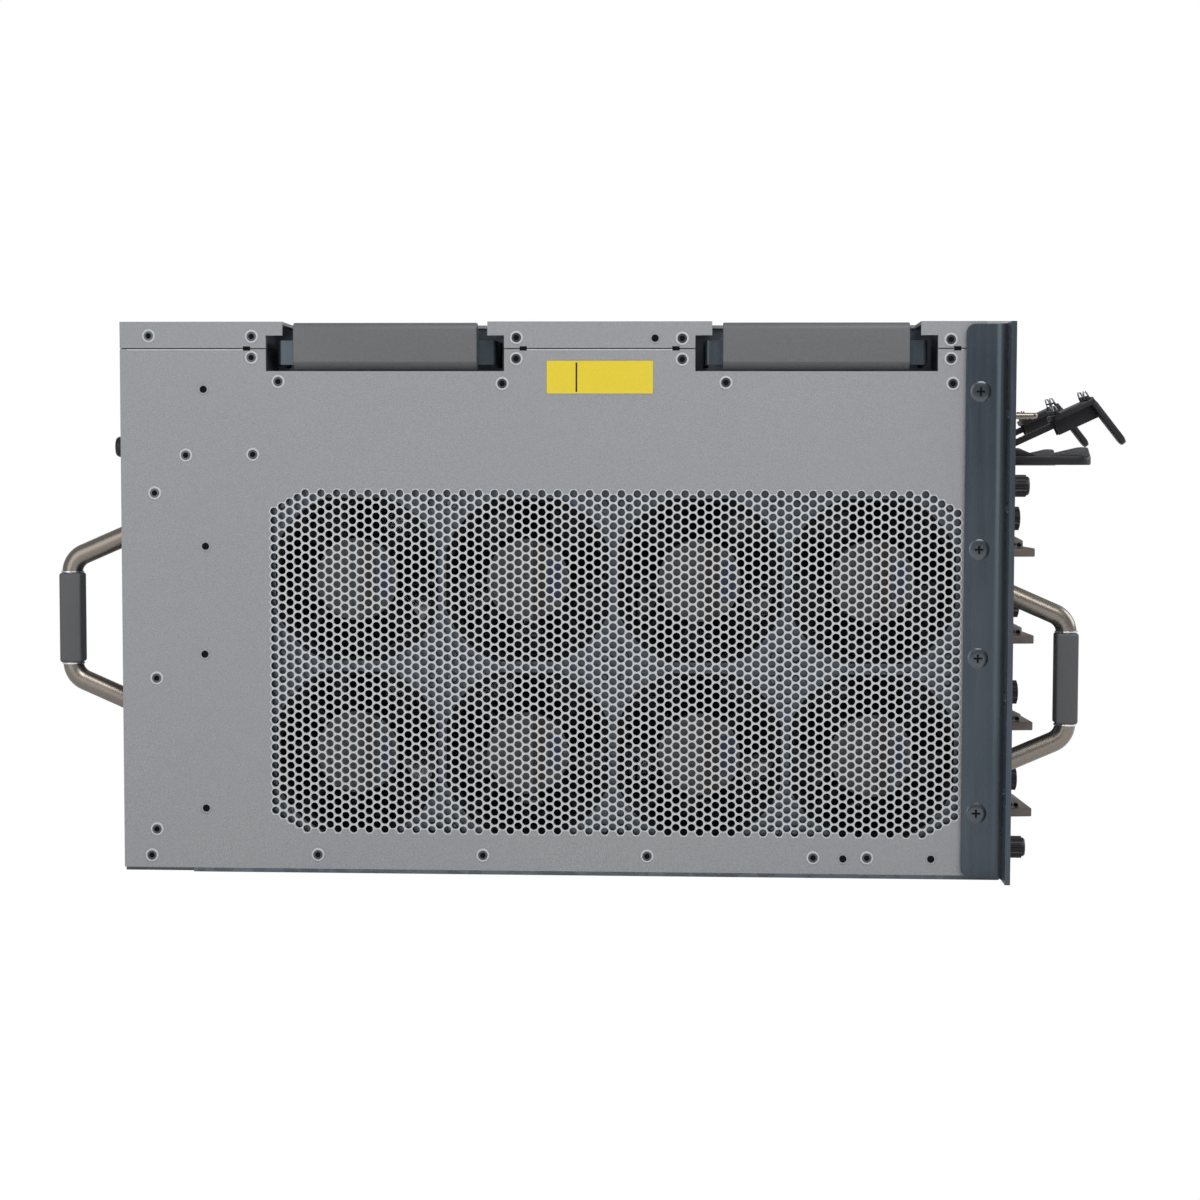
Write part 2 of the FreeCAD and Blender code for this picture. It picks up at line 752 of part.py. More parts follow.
def lift_strap(side, place):
    """Zinc strap folded into a U, whose legs slide through the pocket's back and end in hooks."""
    strap = new_body(f"lift_strap_{SIDE_NAMES[side]}_{place}")
    centre = pocket_centre(place)
    face = f"({SIDE} - strap_setback)"
    bend = f"({face} - strap_sheet)"
    hook = f"({INNER} - pocket_depth - strap_travel)"
    top = "strap_bottom + strap_height"
    ends = (f"{centre} - strap_width / 2", f"{centre} + strap_width / 2")
    slab(strap, "XY_Plane", (*levels(side, bend, face), *ends), "strap_bottom", top)
    for way in (-1, 1):
        outer = f"({centre} + {way} * strap_width / 2)"
        inner = f"({outer} - {way} * strap_sheet)"
        tip = f"({outer} + {way} * strap_hook)"
        leg = [inner, outer] if way == 1 else [outer, inner]
        slab(strap, "XY_Plane", (*levels(side, hook, bend), *leg), "strap_bottom", top)
        end = [inner, tip] if way == 1 else [tip, inner]
        slab(strap, "XY_Plane", (*levels(side, f"{hook} - strap_sheet", hook), *end), "strap_bottom", top)
    round_edges(strap, "strap_sheet", lambda edge, middle: (
        near(middle.x, flip(side, face)) and abs(edge.tangentAt(edge.FirstParameter).z) > 0.9))


def lift_grip(side, place):
    """Moulded grip on the strap's face: round top edge, sloped lower lip."""
    grip = new_body(f"lift_grip_{SIDE_NAMES[side]}_{place}")
    centre = pocket_centre(place)
    back = f"({SIDE} - strap_setback)"
    front = f"({back} + grip_thickness)"
    top = "(grip_bottom + grip_height)"
    section = [
        (flip(side, back), "grip_bottom"), (flip(side, f"{back} + grip_thickness / 2"), "grip_bottom"),
        (flip(side, front), "grip_bottom + grip_lip"), (flip(side, front), top), (flip(side, back), top),
    ]
    prism(grip, "XZ_Plane", section, f"{centre} - grip_length / 2", f"{centre} + grip_length / 2")
    round_edges(grip, "grip_round", lambda edge, middle: (
        near(middle.x, flip(side, front)) and near(middle.z, top)))


# Fan tray


def fan_tray_frame():
    """Tray plate behind the grille with eight clipped round windows, folded flanges and two end faces."""
    frame = new_body("fan_tray_frame")
    plate = f"({TRAY_FACE} - tray_sheet)"
    top = "(tray_bottom + tray_height)"
    ends = (f"{FRONT} + tray_sheet", f"{REAR} - tray_sheet")
    slab(frame, "YZ_Plane", (*ends, "tray_bottom", top), plate, TRAY_FACE)
    for low, high in (("tray_bottom", "tray_bottom + tray_sheet"), (f"{top} - tray_sheet", top)):
        slab(frame, "XY_Plane", (TRAY_FACE, f"{TRAY_FACE} + tray_flange", *ends), low, high)
    left = f"({TRAY_EDGE} - tray_width)"
    for start, stop in ((FRONT, ends[0]), (ends[1], REAR)):
        slab(frame, "XZ_Plane", (left, TRAY_EDGE, "tray_bottom", top), start, stop)
    sketch = new_sketch(frame, "YZ_Plane", plate)
    clipped_outline(sketch, "fan_rear", "fan_lower", "fan_window", "fan_window_flat")
    window = pocket(frame, sketch, "tray_sheet")
    row_of(frame, [window], [("Y_Axis", "-fan_pitch", "fan_columns"), ("Z_Axis", "fan_rise", "fan_rows")])


def clipped_outline(sketch, across, along, radius, flat):
    """Draw a round of a few flat sides, whose four quarters are clipped at one distance from its centre."""
    half = f"sqrt({radius} ^ 2 - {flat} ^ 2)"
    corners = []
    for turn in range(4):
        quarter = [(flat, half)]
        for share in CLIP_SHARES:
            angle = share * math.pi / 2
            quarter.append((f"{radius} * {math.cos(angle):.6f}", f"{radius} * {math.sin(angle):.6f}"))
        quarter.append((half, flat))
        for run, rise in quarter:
            for _ in range(turn):
                run, rise = f"-({rise})", run
            corners.append((f"{across} + {run}", f"{along} + {rise}"))
    polygon(sketch, corners)


def fan_housings():
    """Eight square fan frames with a bore, a stator hub and four struts on the air inlet side."""
    housings = new_body("fan_housings")
    across, along = "fan_rear", "fan_lower"
    back = f"{TRAY_FACE} + fan_depth"
    square = (f"{across} - fan_side / 2", f"{across} + fan_side / 2",
              f"{along} - fan_side / 2", f"{along} + fan_side / 2")
    block = slab(housings, "YZ_Plane", square, TRAY_FACE, back)
    hole = bore(housings, "YZ_Plane", (across, along), "fan_bore", TRAY_FACE, back, BORE_SIDES)
    hub = disc(housings, "YZ_Plane", (across, along), "stator_radius",
               TRAY_FACE, f"{TRAY_FACE} + stator_depth", HUB_SIDES)
    struts = []
    for run, rise in ((1, 1), (1, -1)):
        lean = f"{math.sqrt(0.5):.6f} * strut_width / 2"
        reach = f"{math.sqrt(0.5):.6f} * (fan_bore + strut_width / 4)"
        corners = []
        for way, turn in ((-1, -1), (1, -1), (1, 1), (-1, 1)):
            corners.append((f"{across} + {way * run} * {reach} - {turn * rise} * {lean}",
                            f"{along} + {way * rise} * {reach} + {turn * run} * {lean}"))
        struts.append(prism(housings, "YZ_Plane", corners, TRAY_FACE, f"{TRAY_FACE} + strut_depth"))
    bearing = bore(housings, "YZ_Plane", (across, along), "shaft_radius + running_gap",
                   f"{TRAY_FACE} + stator_depth / 2", f"{TRAY_FACE} + stator_depth")
    row_of(housings, [block, hole, hub, *struts, bearing],
           [("Y_Axis", "-fan_pitch", "fan_columns"), ("Z_Axis", "fan_rise", "fan_rows")])


def fan_rotor(column, row):
    """Rotor on its shaft: a hub with pitched, slightly cambered blades. It turns about its own X axis."""
    rotor = new_body(f"fan_rotor_{'lower' if row == 1 else 'upper'}_{column}")
    shaft_start = "stator_depth / 2 + running_gap"
    disc(rotor, "YZ_Plane", ("0", "0"), "shaft_radius", shaft_start, "rotor_start")
    hub = "rotor_start + rotor_depth"
    disc(rotor, "YZ_Plane", ("0", "0"), "rotor_hub", "rotor_start", hub, HUB_SIDES)
    middle = "rotor_start + rotor_depth / 2"
    blade(rotor, "XY_Plane", middle, "rotor_hub - blade_sheet", "rotor_tip", "X_Axis")
    bind(rotor, ".Placement.Base.x", TRAY_FACE)
    bind(rotor, ".Placement.Base.y", f"fan_rear - {column - 1} * fan_pitch")
    bind(rotor, ".Placement.Base.z", f"fan_lower + {row - 1} * fan_rise")


def blade(rotor, role, middle, root, tip, axis, share="1"):
    """Add the blades: a bent section in a plane, padded out from the hub and repeated round an axis."""
    rise = f"({share} * blade_rise / 2)"
    chord = f"({share} * blade_chord / 2)"
    camber = f"({share} * blade_camber)"
    section = [
        (f"{middle} - {rise}", f"-{chord}"), (f"{middle} + {camber}", "0"), (f"{middle} + {rise}", chord),
        (f"{middle} + {rise} - blade_sheet", chord), (f"{middle} + {camber} - blade_sheet", "0"),
        (f"{middle} - {rise} - blade_sheet", f"-{chord}"),
    ]
    if axis == "Y_Axis":
        section = [(along, across) for across, along in section]
    first = prism(rotor, role, section, root, tip)
    turns_of(rotor, [first], axis, "blade_count")


def bar_handle(label, level, face, out):
    """Bar bent into a carrying handle: two sloped arms and a straight run, cut flat at the tray's face."""
    handle = document.addObject("PartDesign::Body", label)
    slope = math.radians(number("handle_arm_angle"))
    reach = number("handle_reach")
    foot = number("handle_foot")
    bend = number("handle_bend")
    corner = foot - reach * math.tan(slope)
    cut = bend * math.tan((math.pi / 2 - slope) / 2)
    spine = new_sketch(handle, "YZ_Plane", "0")
    tangent_low = FreeCAD.Vector(out * reach, corner - cut, 0)
    tangent_high = FreeCAD.Vector(out * (reach - cut * math.cos(slope)), corner + cut * math.sin(slope), 0)
    overrun = number("handle_bar")
    end = FreeCAD.Vector(-out * overrun, foot + overrun * math.tan(slope), 0)
    upright = spine.addGeometry(Part.LineSegment(FreeCAD.Vector(out * reach, 0, 0), tangent_low))
    centre = FreeCAD.Vector(out * (reach - bend), corner - cut, 0)
    ring = Part.Circle(centre, FreeCAD.Vector(0, 0, 1), bend)
    turn = math.pi / 2 - slope
    limits = (0, turn) if out > 0 else (math.pi - turn, math.pi)
    arc = spine.addGeometry(Part.ArcOfCircle(ring, *limits))
    arm = spine.addGeometry(Part.LineSegment(tangent_high, end))
    near_end, far_end = (1, 2) if out > 0 else (2, 1)
    pin(spine, upright, 1, f"{out} * handle_reach", "0")
    spine.addConstraint(Sketcher.Constraint("Vertical", upright))
    spine.addConstraint(Sketcher.Constraint("Tangent", upright, 2, arc, near_end))
    spine.addConstraint(Sketcher.Constraint("Tangent", arc, far_end, arm, 1))
    size = spine.addConstraint(Sketcher.Constraint("Radius", arc, bend))
    bind(spine, f"Constraints[{size}]", "handle_bend")
    pin(spine, arm, 2, f"{-out} * handle_bar", "handle_foot + handle_bar * tan(handle_arm_angle * 1 deg)")
    section = new_sketch(handle, "XY_Plane", "0")
    facets(section, "0", f"{out} * handle_reach", "handle_bar", BAR_SIDES)
    pipe = handle.newObject("PartDesign::AdditivePipe", "Pipe")
    pipe.Profile = section
    pipe.Spine = (spine, [])
    mirror = handle.newObject("PartDesign::Mirrored", "Mirrored")
    mirror.Originals = [pipe]
    level_plane = next(item for item in handle.Origin.OriginFeatures if item.Role == "XY_Plane")
    mirror.MirrorPlane = (level_plane, [""])
    handle.Tip = mirror
    box = ("-handle_bar * 2", "handle_bar * 2", "-handle_foot * 2", "handle_foot * 2")
    limits = ("0", "handle_bar * 3") if out < 0 else ("-handle_bar * 3", "0")
    opening(handle, "XZ_Plane", box, *limits)
    bind(handle, ".Placement.Base.x", TRAY_MIDDLE)
    bind(handle, ".Placement.Base.y", face)
    bind(handle, ".Placement.Base.z", level)
    return handle


def tray_handles():
    """The fan tray's two carrying handles, front and rear."""
    pair = document.addObject("Part::Compound", "tray_handles")
    pair.Label = "tray_handles"
    pair.Links = [bar_handle("front_handle", "handle_front", FRONT, -1),
                  bar_handle("rear_handle", "handle_back", REAR, 1)]
    parts.append(pair)


def handle_sleeves():
    """Flat-sided sleeves round the handles' straight runs."""
    sleeves = new_body("handle_sleeves")
    runs = (("handle_front", f"{FRONT} - handle_reach"), ("handle_back", f"{REAR} + handle_reach"))
    for level, place in runs:
        half = "sleeve_side / 2"
        box = (f"{TRAY_MIDDLE} - {half}", f"{TRAY_MIDDLE} + {half}", f"{place} - {half}", f"{place} + {half}")
        ends = (f"{level} - sleeve_length / 2", f"{level} + sleeve_length / 2")
        slab(sleeves, "XY_Plane", box, *ends)
        bore(sleeves, "XY_Plane", (TRAY_MIDDLE, place), "handle_bar + running_gap", *ends, BAR_SIDES)
    round_edges(sleeves, "sleeve_edge", lambda edge, middle: (
        abs(edge.tangentAt(edge.FirstParameter).z) > 0.9
        and near(abs(middle.x - number(TRAY_MIDDLE)), "sleeve_side / 2")))


def thumb_knob(body, across, along):
    """Captive screw with a collar and a knob, standing out of the front."""
    collar = f"{FRONT} - knob_collar_length"
    tip = f"{FRONT} - knob_length"
    disc(body, "XZ_Plane", (across, along), "knob_collar", collar, FRONT, COLLAR_SIDES)
    disc(body, "XZ_Plane", (across, along), "knob_radius", tip, collar, KNOB_SIDES)


def tray_thumbscrews():
    """The two captive screws that hold the fan tray."""
    screws = new_body("tray_thumbscrews")
    for level in ("tray_knob_upper", "tray_knob_lower"):
        thumb_knob(screws, TRAY_MIDDLE, level)


# Cards


def lever_pivot(side):
    """Return where a card lever's pin stands, in X."""
    return f"({CARD_LEFT} + lever_inset)" if side == LEFT else f"({CARD_RIGHT} - lever_inset)"


def card(slot):
    """Card: faceplate with port banks, carrier, board, connectors, lever ears and two captive screws."""
    line_card = slot in LINE_CARDS
    body = new_body(f"{'line_card' if line_card else 'supervisor_card'}_{slot}")
    floor = slot_floor(slot)
    behind = f"({FRONT} + sheet)"
    slab(body, "XZ_Plane", (CARD_LEFT, CARD_RIGHT, floor, f"{floor} + card_height"), FRONT, behind)
    carrier_low = f"({floor} + carrier_lift)"
    edge = "guide_width - guide_groove + guide_clearance"
    carrier = (f"{CAGE_EDGE} + {edge}", f"{INNER} - ({edge})", behind, f"{FRONT} + card_depth")
    slab(body, "XY_Plane", carrier, carrier_low, f"{carrier_low} + carrier_sheet")
    board_low = f"({floor} + board_lift)"
    cage_back = f"({behind} + bank_depth + bank_wall)"
    board = (f"{CARD_LEFT} + board_inset", f"{CARD_RIGHT} - board_inset", f"{cage_back} + bank_wall",
             f"{FRONT} + card_depth")
    slab(body, "XY_Plane", board, board_low, f"{board_low} + board_sheet")
    for way in (f"{CARD_LEFT} + board_inset * 2", f"{CARD_RIGHT} - board_inset * 3"):
        ends = (f"{cage_back} + board_inset", f"{FRONT} + card_depth - board_inset")
        rail = (way, f"{way} + board_inset", *ends)
        slab(body, "XY_Plane", rail, f"{carrier_low} + carrier_sheet", board_low)
    left = f"({CARD_LEFT} + board_inset + connector_width / 2)"
    plug = (left, f"{left} + connector_width", f"{board_low} + board_sheet",
            f"{board_low} + board_sheet + connector_height")
    depth = f"{FRONT} + card_depth"
    plugs = slab(body, "XZ_Plane", plug, f"{depth} - connector_depth", depth)
    row_of(body, [plugs], [("X_Axis", "connector_pitch", "connector_count")])
    for bank in range(BANKS_LINE if line_card else BANKS_SUPERVISOR):
        port_bank(body, floor, bank, behind, cage_back)
    for side in (LEFT, RIGHT):
        lever_ears(body, floor, side)
        knob = f"({side} * -card_knob_inset)"
        edge = CARD_LEFT if side == LEFT else CARD_RIGHT
        thumb_knob(body, f"{edge} + {knob}", f"{floor} + card_knob_lift")


def port_bank(body, floor, bank, behind, cage_back):
    """One bank of ports: a cage behind the faceplate, open to the front."""
    low = f"({floor} + bank_lift)"
    left = f"(bank_start + {bank} * bank_pitch)"
    cage = (f"{left} - bank_wall", f"{left} + bank_width + bank_wall", f"{low} - bank_wall",
            f"{low} + bank_height + bank_wall")
    slab(body, "XZ_Plane", cage, behind, cage_back)
    hole = (left, f"{left} + bank_width", low, f"{low} + bank_height")
    opening(body, "XZ_Plane", hole, FRONT, f"{behind} + bank_depth")


def lever_ears(body, floor, side):
    """Two ears on the faceplate and the pin that an ejector lever turns on."""
    pivot = lever_pivot(side)
    place = f"({FRONT} - lever_stand)"
    low = f"({floor} + lever_lift)"
    half = "(lever_pin + ear_sheet)"
    ear = (f"{pivot} - {half}", f"{pivot} + {half}", f"{place} - {half}", FRONT)
    below = f"({low} - ear_gap)"
    above = f"({low} + lever_height + ear_gap)"
    slab(body, "XY_Plane", ear, f"{below} - ear_sheet", below)
    slab(body, "XY_Plane", ear, above, f"{above} + ear_sheet")
    disc(body, "XY_Plane", (pivot, place), "lever_pin", below, above)


def card_lever(slot, side):
    """Cast ejector lever in two tiers, a long one under a short one. It turns on the card's pin."""
    lever = new_body(f"card_lever_{slot}_{SIDE_NAMES[side]}")
    arm = f"{-side} * lever_arm"
    back = "lever_boss / 2"
    lower = [
        (f"{side} * lever_boss", "-lever_boss / 2"), (f"{side} * lever_root", "-lever_reach"),
        (arm, "-lever_reach + lever_boss / 2"), (arm, "-lever_boss"), (f"{-side} * lever_boss", back),
        ("0", "lever_boss"), (f"{side} * lever_boss", back),
    ]
    prism(lever, "XY_Plane", lower, "0", "lever_tier")
    upper = [
        (f"{side} * lever_boss", "-lever_boss / 2"), (f"{side} * lever_root", "-lever_upper_reach"),
        (f"{-side} * lever_upper_arm", "-lever_boss"), (f"{-side} * lever_boss", back), ("0", "lever_boss"),
        (f"{side} * lever_boss", back),
    ]
    prism(lever, "XY_Plane", upper, "lever_tier", "lever_height")
    bore(lever, "XY_Plane", ("0", "0"), "lever_pin + running_gap", "0", "lever_height")
    bind(lever, ".Placement.Base.x", lever_pivot(side))
    bind(lever, ".Placement.Base.y", f"{FRONT} - lever_stand")
    bind(lever, ".Placement.Base.z", f"{slot_floor(slot)} + lever_lift")


# Power supplies


def psu_case(bay):
    """Power supply's case: fan bore in front, inlet recess, pins for the latch and lugs for the bail."""
    case = new_body(f"psu_case_{bay}")
    left = bay_left(bay)
    top = f"({PSU_BOTTOM} + psu_height)"
    slab(case, "XZ_Plane", (left, f"{left} + psu_width", PSU_BOTTOM, top), FRONT, f"{FRONT} + psu_depth")
    middle = (f"{left} + psu_fan_inset", f"{PSU_BOTTOM} + psu_height / 2")
    bore(case, "XZ_Plane", middle, "psu_fan_bore", FRONT, f"{FRONT} + psu_fan_depth", BORE_SIDES)
    disc(case, "XZ_Plane", middle, "shaft_radius",
         f"{FRONT} + psu_rotor_setback + psu_rotor_depth / 2 + running_gap", f"{FRONT} + psu_fan_depth")
    inlet = (f"{left} + inlet_inset - inlet_width / 2", f"{left} + inlet_inset + inlet_width / 2",
             f"{PSU_BOTTOM} + inlet_lift", f"{PSU_BOTTOM} + inlet_lift + inlet_height")
    opening(case, "XZ_Plane", inlet, FRONT, f"{FRONT} + inlet_depth")
    latch_place = (f"{FRONT} - latch_stand", f"{PSU_BOTTOM} + latch_barrel")
    for way in (-1, 1):
        near_face = f"({left} + latch_inset + {way} * (latch_width / 2 + ear_gap))"
        far_face = f"({near_face} + {way} * ear_sheet)"
        limits = (near_face, far_face) if way == 1 else (far_face, near_face)
        ear = (f"{latch_place[0]} - latch_barrel", FRONT, f"{PSU_BOTTOM}", f"{PSU_BOTTOM} + latch_barrel * 2")
        slab(case, "YZ_Plane", ear, *limits)
    disc(case, "YZ_Plane", latch_place, "latch_pin", f"{left} + latch_inset - latch_width / 2 - ear_gap",
         f"{left} + latch_inset + latch_width / 2 + ear_gap")
    for way in (-1, 1):
        near_face = f"({left} + bail_inset + {way} * (bail_half + bail_wire + ear_gap))"
        far_face = f"({near_face} + {way} * bail_lug)"
        limits = (near_face, far_face) if way == 1 else (far_face, near_face)
        level = f"({PSU_BOTTOM} + bail_lift)"
        half = "(bail_wire + ear_sheet)"
        lug = (f"{FRONT} - bail_stand - {half}", FRONT, f"{level} - {half}", f"{level} + {half}")
        slab(case, "YZ_Plane", lug, *limits)
        bore(case, "YZ_Plane", (f"{FRONT} - bail_stand", level), "bail_wire + running_gap", *limits)


def psu_rotor(bay):
    """Small fan rotor in the power supply's front bore. It turns about its own Y axis."""
    rotor = new_body(f"psu_rotor_{bay}")
    disc(rotor, "XZ_Plane", ("0", "0"), "psu_rotor_hub", "0", "psu_rotor_depth", HUB_SIDES)
    blade(rotor, "XY_Plane", "psu_rotor_depth / 2", "psu_rotor_hub - blade_sheet", "psu_rotor_tip", "Y_Axis",
          "psu_blade_share")
    radius = "shaft_radius + running_gap"
    bore(rotor, "XZ_Plane", ("0", "0"), radius, "psu_rotor_depth / 2", "psu_rotor_depth")
    bind(rotor, ".Placement.Base.x", f"{bay_left(bay)} + psu_fan_inset")
    bind(rotor, ".Placement.Base.y", f"{FRONT} + psu_rotor_setback")
    bind(rotor, ".Placement.Base.z", f"{PSU_BOTTOM} + psu_height / 2")


def psu_latch(bay):
    """Black release lever: a flat plate with a barrel at its root, pressed down a few degrees."""
    latch = new_body(f"psu_latch_{bay}")
    half = "latch_width / 2"
    tip = "-latch_reach + latch_stand"
    top = "latch_sheet - latch_barrel"
    section = [("0", "-latch_barrel"), ("0", top), (f"{tip} + latch_sheet", top),
               (tip, "latch_sheet / 2 - latch_barrel"), (tip, "-latch_barrel")]
    disc(latch, "YZ_Plane", ("0", "0"), "latch_barrel", f"-{half}", half)
    prism(latch, "YZ_Plane", section, f"-{half}", half)
    bore(latch, "YZ_Plane", ("0", "0"), "latch_pin + running_gap", f"-{half}", half)
    bind(latch, ".Placement.Base.x", f"{bay_left(bay)} + latch_inset")
    bind(latch, ".Placement.Base.y", f"{FRONT} - latch_stand")
    bind(latch, ".Placement.Base.z", f"{PSU_BOTTOM} + latch_barrel")


def psu_bail(bay):
    """Wire bail, bent square, whose ends turn outwards into the case's lugs."""
    bail = new_body(f"psu_bail_{bay}")
    route = [("-bail_half - bail_pin", "0"), ("-bail_half", "0"), ("-bail_half", "-bail_reach + bail_stand"),
             ("bail_half", "-bail_reach + bail_stand"), ("bail_half", "0"), ("bail_half + bail_pin", "0")]
    spine = new_sketch(bail, "XY_Plane", "0")
    places = [FreeCAD.Vector(number(u), number(v), 0) for u, v in route]
    for index, (start, end) in enumerate(zip(places, places[1:])):
        spine.addGeometry(Part.LineSegment(start, end))
        pin(spine, index, 1, *route[index])
        if index:
            spine.addConstraint(Sketcher.Constraint("Coincident", index - 1, 2, index, 1))
    pin(spine, len(route) - 2, 2, *route[-1])
    section = new_sketch(bail, "YZ_Plane", "-bail_half - bail_pin")
    facets(section, "0", "0", "bail_wire", WIRE_SIDES)
    pipe = bail.newObject("PartDesign::AdditivePipe", "Pipe")
    pipe.Profile = section
    pipe.Spine = (spine, [])
    pipe.Transition = "Right corner"
    bind(bail, ".Placement.Base.x", f"{bay_left(bay)} + bail_inset")
    bind(bail, ".Placement.Base.y", f"{FRONT} - bail_stand")
    bind(bail, ".Placement.Base.z", f"{PSU_BOTTOM} + bail_lift")


def along_arm(run, rise):
    """Return a point in Y and Z at a distance along the cord arm's slope and square to it."""
    slope = "arm_angle * 1 deg"
    return (f"{FRONT} - ({run}) * cos({slope}) + ({rise}) * sin({slope})",
            f"{PSU_BOTTOM} + arm_lift + ({run}) * sin({slope}) + ({rise}) * cos({slope})")


def cord_arm(bay):
    """Sloped arm on the power supply's face that the cord cradle slides on."""
    arm = new_body(f"cord_arm_{bay}")
    left = f"({bay_left(bay)} + arm_inset)"
    foot = "(arm_sheet * tan(arm_angle * 1 deg))"
    section = [along_arm("0", "0"), along_arm("arm_length", "0"), along_arm("arm_length", "arm_sheet"),
               along_arm(foot, "arm_sheet")]
    prism(arm, "YZ_Plane", section, left, f"{left} + arm_width")


def cord_cradle(bay):
    """Cradle that holds a plug's cord: a channel over the arm, and a tongue that hangs in front beside it."""
    cradle = new_body(f"cord_cradle_{bay}")
    middle = f"({bay_left(bay)} + arm_inset + arm_width / 2)"
    start = "cradle_start"
    stop = "(cradle_start + cradle_length)"
    low = "(arm_sheet + cradle_gap)"
    high = f"({low} + cradle_sheet)"
    deck = [along_arm(start, low), along_arm(stop, low), along_arm(stop, high), along_arm(start, high)]
    prism(cradle, "YZ_Plane", deck, f"{middle} - cradle_width / 2", f"{middle} + cradle_width / 2")
    skirt = [along_arm(start, "-cradle_skirt"), along_arm(stop, "-cradle_skirt"), along_arm(stop, low),
             along_arm(start, low)]
    inside = "(arm_width / 2 + cradle_gap)"
    outside = f"({inside} + ear_sheet)"
    prism(cradle, "YZ_Plane", skirt, f"{middle} + {inside}", f"{middle} + {outside}")
    prism(cradle, "YZ_Plane", skirt, f"{middle} - {outside}", f"{middle} - {inside}")
    drop = "tongue_drop * 1 deg"
    root = along_arm(f"{stop} - cradle_sheet", low)
    upper = along_arm(stop, high)
    tongue = [
        root, upper,
        (f"{upper[0]} - tongue_length * cos({drop})", f"{upper[1]} - tongue_length * sin({drop})"),
        (f"{upper[0]} - tongue_length * cos({drop}) + tongue_sheet * sin({drop})",
         f"{upper[1]} - tongue_length * sin({drop}) - tongue_sheet * cos({drop})"),
    ]
    prism(cradle, "YZ_Plane", tongue, f"{middle} - {outside} - tongue_width", f"{middle} - {inside}")


def check_and_export():
    """Stop if any object failed, then write each sub-part to a file of its own."""
    document.recompute()
    for item in document.Objects:
        if "Invalid" in item.State or "Error" in item.State:
            raise RuntimeError(f"{item.Name} failed: {item.State}")
    for item in parts:
        shape = item.Shape
        if shape.isNull() or not shape.isValid() or shape.Volume <= 0:
            raise RuntimeError(f"{item.Label} has no valid solid")
    os.makedirs("parts", exist_ok=True)
    for item in parts:
        item.Shape.exportStep(f"parts/{item.Label}.step")
        print(f"{item.Label}: {len(item.Shape.Solids)} solids, {item.Shape.Volume / 1000:.2f} cm3")


def build():
    """Build the whole switch."""
    fill_sheet()
    for side in (LEFT, RIGHT):
        side_wall(side)
        rack_bracket(side)
    top_cover()
    cover_skirts()
    front_header()
    bottom_pan()
    rear_panel()
    fan_bay_partition()
    card_guides()
    psu_cage()
    backplane()
    handle_pockets()
    psu_blanks()
    for side in (LEFT, RIGHT):
        for place in PLACES:
            lift_strap(side, place)
            lift_grip(side, place)
    fan_tray_frame()
    fan_housings()
    for row in (1, 2):
        for column in (1, 2, 3, 4):
            fan_rotor(column, row)
    tray_handles()
    handle_sleeves()
    tray_thumbscrews()
    for slot in SLOTS:
        card(slot)
        for side in (LEFT, RIGHT):
            card_lever(slot, side)
    for bay in BAYS_FILLED:
        psu_case(bay)
        psu_rotor(bay)
        psu_latch(bay)
        psu_bail(bay)
        cord_arm(bay)
        cord_cradle(bay)
    check_and_export()


build()
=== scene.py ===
"""Dressing of a rack-mount modular chassis switch, over its packed construction model.

Frame: +X to the right seen from the front, the front faces -Y, +Z up, metres. Sizes in classes are in
millimetres, and so is what mm() takes. Every helper takes metres.
"""

import logging
import math
from contextlib import contextmanager
from dataclasses import dataclass
from enum import Enum
from typing import Callable, Iterator, Sequence

import bmesh
import bpy
from mathutils import Matrix, Vector


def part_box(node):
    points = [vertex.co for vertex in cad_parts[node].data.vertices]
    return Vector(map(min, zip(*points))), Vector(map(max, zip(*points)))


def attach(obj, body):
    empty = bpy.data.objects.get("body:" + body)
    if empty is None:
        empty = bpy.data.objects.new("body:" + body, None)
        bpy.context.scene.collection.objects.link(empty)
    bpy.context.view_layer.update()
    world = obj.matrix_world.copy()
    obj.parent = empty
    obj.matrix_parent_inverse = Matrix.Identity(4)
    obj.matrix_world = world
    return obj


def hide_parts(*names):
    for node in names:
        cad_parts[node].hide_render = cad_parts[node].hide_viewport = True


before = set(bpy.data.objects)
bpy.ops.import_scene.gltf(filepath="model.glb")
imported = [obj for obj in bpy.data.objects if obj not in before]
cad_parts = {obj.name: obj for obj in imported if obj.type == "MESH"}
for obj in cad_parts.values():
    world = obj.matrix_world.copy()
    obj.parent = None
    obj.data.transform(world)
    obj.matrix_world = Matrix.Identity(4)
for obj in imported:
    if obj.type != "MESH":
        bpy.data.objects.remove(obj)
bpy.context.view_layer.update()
LOG = logging.getLogger("chassis_switch")
MM = 0.001
Point = tuple[float, float, float]
Pair = tuple[float, float]

COLUMNS = (1, 2, 3, 4)
BAYS = (1, 2)
CARDS = {1: "line_card_1", 2: "supervisor_card_2", 3: "supervisor_card_3", 4: "line_card_4"}
CARD_FLOOR = 9.5
CARD_PITCH = 43.8
FRONT_FACE = -212.5


class Facing(Enum):
    """The way that a round piece's heights run, as turns about X, Y and Z of a piece that faces up."""

    UP = (0.0, 0.0, 0.0)
    DOWN = (math.pi, 0.0, 0.0)
    LEFT = (0.0, -math.pi / 2, 0.0)
    RIGHT = (0.0, math.pi / 2, 0.0)
    FRONT = (math.pi / 2, 0.0, 0.0)
    REAR = (-math.pi / 2, 0.0, 0.0)


class Grain(Enum):
    """How the tone of a finish varies: its group's name, the pattern's stretch and its texture."""

    SPECKLE = ("Speckle grain", (1.0, 1.0, 1.0), "TexNoise")
    BRUSHED = ("Brushed grain", (1.0, 1.0, 0.06), "TexNoise")
    SPANGLE = ("Spangle grain", (1.0, 1.0, 1.0), "TexVoronoi")


def mm(*values: float) -> Vector:
    """Return a point given in millimetres as a vector in metres."""
    return Vector(values) * MM


